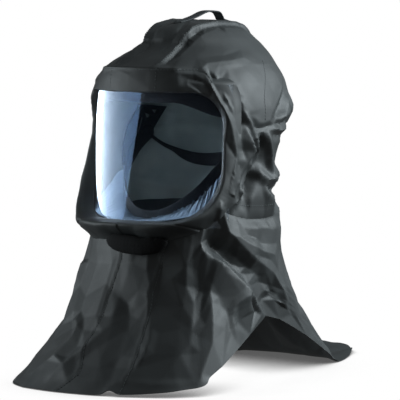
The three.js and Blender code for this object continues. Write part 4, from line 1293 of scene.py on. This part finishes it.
SEAL_THICK = 0.5
SEAL_GAP = -1.9               # edge of the seal cloth, measured out from the visor's face
GATHERS = 30                  # ruffles along the seal
cloth_turn = np.linspace(-68, 68, 420)
cloth_way = np.linspace(0, 1, 22)
band_edge = seal_line(cloth_turn) + np.array([0, 0, -4.0])
out_way = np.stack([np.sin(np.radians(cloth_turn)), -np.cos(np.radians(cloth_turn)), 0 * cloth_turn], -1)
foot_z = 231 + 0.25 * (band_edge[:, 2] - 226)
foot_side = cloth_turn * 2.05
foot = bend_at(foot_side, foot_z, SEAL_GAP)
wander = np.random.default_rng(3).uniform(0.55, 1.45, GATHERS + 4)
gather_at = np.interp(cloth_turn, np.linspace(-68, 68, GATHERS + 4), np.cumsum(wander))
ruffle = np.sin(gather_at[:, None] * 6.28 + 1.4 * cloth_way[None, :])
ruffle = ruffle + 0.5 * np.sin(gather_at[:, None] * 14.1 - 2.6 * cloth_way[None, :])
swell = 2.8 * np.exp(-((cloth_way - 0.16) / 0.2) ** 2) + 0.7 * np.sin(np.pi * cloth_way)
seal_grid = (band_edge + 2.4 * out_way)[:, None] * (1 - cloth_way)[None, :, None]
seal_grid = seal_grid + foot[:, None] * cloth_way[None, :, None]
seal_grid[..., 2] += ruffle * swell[None, :] + 3 * np.sin(np.pi * cloth_way)[None, :]
seal_grid = seal_grid + 0.8 * (ruffle * swell[None, :])[..., None] * out_way[:, None]
seal_cloth = cloth_piece("face_seal_ruffles", seal_grid, thin_cloth, SEAL_THICK)
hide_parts("face_seal_cloth")

# %% [markdown]
# ## Chin grip
# A padded roll is sewn on under the lip, where the wearer pulls the hood off the chin. It lies on the
# bib, is round at its ends, and its thinner end is tucked up under the lip.

# %% Chin grip
GRIP_OUT = 8.5                # middle of the roll in front of the bib
GRIP_HALF = (13, 8)           # half its height and half its depth
grip_turn = np.linspace(-9, 28, 60)
grip_z = np.interp(grip_turn, [-9, 2, 12, 20, 28], [206, 201, 199, 201, 207])
fall = np.linspace(0, 0.3, 60)
columns = cape_form(grip_turn[:, None], fall[None, :])
grip_share = np.array([np.interp(-z, -c[:, 2], fall) for z, c in zip(grip_z, columns)])
grip_on = cape_form(grip_turn, grip_share)
grip_out = np.stack([np.sin(np.radians(grip_turn)), -np.cos(np.radians(grip_turn)), 0 * grip_turn], -1)
grip_round = round_ends(60, 0.32) * np.interp(grip_turn, [-9, 8, 28], [1, 1, 0.8])
chin_grip = strip("chin_grip_roll", grip_on + GRIP_OUT * grip_out, (0, 0, 1),
                  GRIP_HALF[0] * grip_round, GRIP_HALF[1] * grip_round, pad_fabric, power=2.3)
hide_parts("chin_grip")

# %% [markdown]
# ## Seams and stitches
# The panels meet in seams: two over the crown, two down the bib, one round the neck, one up the side
# and two short ones in the brow band, whose upper edge is sewn down too. Each line is laid on the
# finished cloth, and Geometry Nodes sets one small stitch after another along it. An array along a
# curve would do as well, but here the spacing, the length and the thread are each one named number.

# %% Stitch tree
def stitch_tree():
    """Node group that turns the edges of a mesh into rows of stitches."""
    tree = bpy.data.node_groups.new("stitches", "GeometryNodeTree")
    names = {}
    for name, kind in [("Geometry", "Geometry"), ("Spacing", "Float"), ("Length", "Float"),
                       ("Radius", "Float"), ("Thread", "Material")]:
        socket = tree.interface.new_socket(name, in_out="INPUT", socket_type="NodeSocket" + kind)
        names[name] = socket.identifier
    tree.interface.new_socket("Geometry", in_out="OUTPUT", socket_type="NodeSocketGeometry")
    given = add_node(tree, "NodeGroupInput").outputs
    lines = add_node(tree, "GeometryNodeMeshToCurve", {"Mesh": given["Geometry"]})
    spots = add_node(tree, "GeometryNodeCurveToPoints",
                     {"Curve": lines.outputs["Curve"], "Length": given["Spacing"]}, mode="LENGTH")
    grain_of_thread = add_node(tree, "GeometryNodeMeshUVSphere", {"Radius": given["Radius"]},
                               {"Segments": 6, "Rings": 4})
    stretch = add_node(tree, "ShaderNodeMath", {0: given["Length"], 1: given["Radius"]}, operation="DIVIDE")
    half = add_node(tree, "ShaderNodeMath", {0: stretch.outputs[0]}, {1: 0.5}, operation="MULTIPLY")
    size = add_node(tree, "ShaderNodeCombineXYZ", {"Z": half.outputs[0]}, {"X": 1.0, "Y": 1.0})
    along = add_node(tree, "FunctionNodeAlignRotationToVector",
                     {"Vector": spots.outputs["Tangent"]}, axis="Z")
    rows = add_node(tree, "GeometryNodeInstanceOnPoints",
                    {"Points": spots.outputs["Points"], "Instance": grain_of_thread.outputs["Mesh"],
                     "Rotation": along.outputs["Rotation"], "Scale": size.outputs["Vector"]})
    real = add_node(tree, "GeometryNodeRealizeInstances", {"Geometry": rows.outputs["Instances"]})
    dressed = add_node(tree, "GeometryNodeSetMaterial",
                       {"Geometry": real.outputs["Geometry"], "Material": given["Thread"]})
    add_node(tree, "NodeGroupOutput", {"Geometry": dressed.outputs["Geometry"]})
    return tree, names


stitches_tree, stitch_names = stitch_tree()
print("stitch inputs", list(stitch_names))

# %% [markdown]
# ## Seam lines
# A line on a grid is read between the grid's own points. The crown's lines are dropped on the hood
# from above instead, because the grid's columns all meet there.

# %% Seam lines
STITCH_RISE = 0.25            # middle of the thread over the cloth


def on_grid(grid, us, vs, line):
    """Places on a grid for a line of (u, v) pairs, drawn smoothly, a little off the cloth."""
    u, v = smooth_line(np.array(line, float), 60).T
    raised = grid + STITCH_RISE * surface_normals(grid, True)
    return between(raised, grid_place(u, us), grid_place(v, vs))


def dropped(piece, places):
    """Places dropped on a piece from above."""
    bpy.context.view_layer.update()
    found = []
    for p in places:
        above = Vector((p + AXIS) * 0.001 + [0, 0, 0.1])
        hit, spot, normal, _ = piece.ray_cast(above, Vector((0, 0, -1)))
        if hit:
            found.append(np.array(spot + normal * 0.0003) * 1000 - AXIS)
    return np.array(found)


def brow_line(side):
    """Line up the brow band at one length round the visor's bend."""
    fs = np.linspace(0.06, 0.97, 14)
    ks = 1 - 0.16 * abs(side) / (86 + 25 * fs)
    return np.array([frame_grid(np.array([k * np.sign(side)]), np.array([f]))[0, 0]
                     for k, f in zip(ks, fs)])


SIDE_SEAM = [(102, 453), (93, 412), (92, 372)]      # angle, height
crown_way = np.arange(-112, 126, 2.5)
seam_lines = [dropped(hood, crown_at(crown_way, half)) for half in (-1, 1)]
seam_lines += [on_grid(cape_grid[:, 1:], hood_angles, cape_shares, line) for line in BIB_SEAMS.values()]
neck_row = hood_grid[:, -4] + STITCH_RISE * surface_normals(hood_grid, True)[:, -4]
seam_lines.append(np.concatenate([neck_row, neck_row[:1]]))
for turn in (1, -1):
    side_line = [(turn * a, float(share_at(z) / neck_share(turn * a))) for a, z in SIDE_SEAM]
    seam_lines.append(on_grid(hood_grid, hood_angles, hood_shares, side_line))
seam_lines += [brow_line(side) for side in (-39.4, 39.4)]
band_way = np.concatenate([-np.linspace(0.83, 1, 60), np.linspace(1, 0.83, 60)[1:]])
seam_lines.append(frame_grid(band_way, np.array([0.93]))[:, 0] + [0, 0, 0.3])
print(len(seam_lines), "seam lines")

# %% [markdown]
# ## Sewing
# The lines become one mesh of edges, and the node group turns them into stitches. The result is turned
# into a plain mesh. The sphere node brings an empty slot of
# its own, so the materials are set again at the end.

# %% Stitches
thread, tree, shader = new_material("polyester thread", Roughness=0.55, Specular_IOR_Level=0.35)
tree.links.new(two_tone(tree, grain(tree, 1.5, 2.0), "#3a3f40", "#5a6061"), shader.inputs["Base Color"])
tree.links.new(bump(tree, grain(tree, 0.25, 1.0), 0.4, 0.0001), shader.inputs["Normal"])
points = (np.concatenate(seam_lines) + AXIS) * 0.001
ends = np.cumsum([len(line) for line in seam_lines])
edges = [(k, k + 1) for k in range(len(points) - 1) if k + 1 not in ends]
line_mesh = bpy.data.meshes.new("seam lines")
line_mesh.from_pydata(points.tolist(), edges, [])
lines = link(bpy.data.objects.new("seam_lines", line_mesh))
sewing = lines.modifiers.new("stitches", "NODES")
sewing.node_group = stitches_tree
for name, value in {"Spacing": 0.0046, "Length": 0.0034, "Radius": 0.00042, "Thread": thread}.items():
    sewing[stitch_names[name]] = value
graph = bpy.context.evaluated_depsgraph_get()
sewn = bpy.data.meshes.new_from_object(lines.evaluated_get(graph), depsgraph=graph)
bpy.data.objects.remove(lines)
stitches = link(bpy.data.objects.new("seam_stitches", sewn))
sewn.materials.clear()
sewn.materials.append(thread)
sewn.polygons.foreach_set("material_index", [0] * len(sewn.polygons))
sewn.polygons.foreach_set("use_smooth", [True] * len(sewn.polygons))
print("stitches", len(sewn.polygons), "faces, materials", [m.name for m in sewn.materials])

# %% [markdown]
# ## One body
# Every piece rides on the one body.

# %% One body
pieces = {"coated_cloth": [hood, cape, lip, band, stitches], "clear_visor": [visor],
          "webbing": [carry_loop],
          "pad_fabric": [brow_pad, chin_grip], "harness_plastic": [plate_left, plate_right, nape_strap],
          "elastic": [seal_band], "seal_cloth": [seal_cloth]}
for slot, group in pieces.items():
    for piece in group:
        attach(piece, "root")
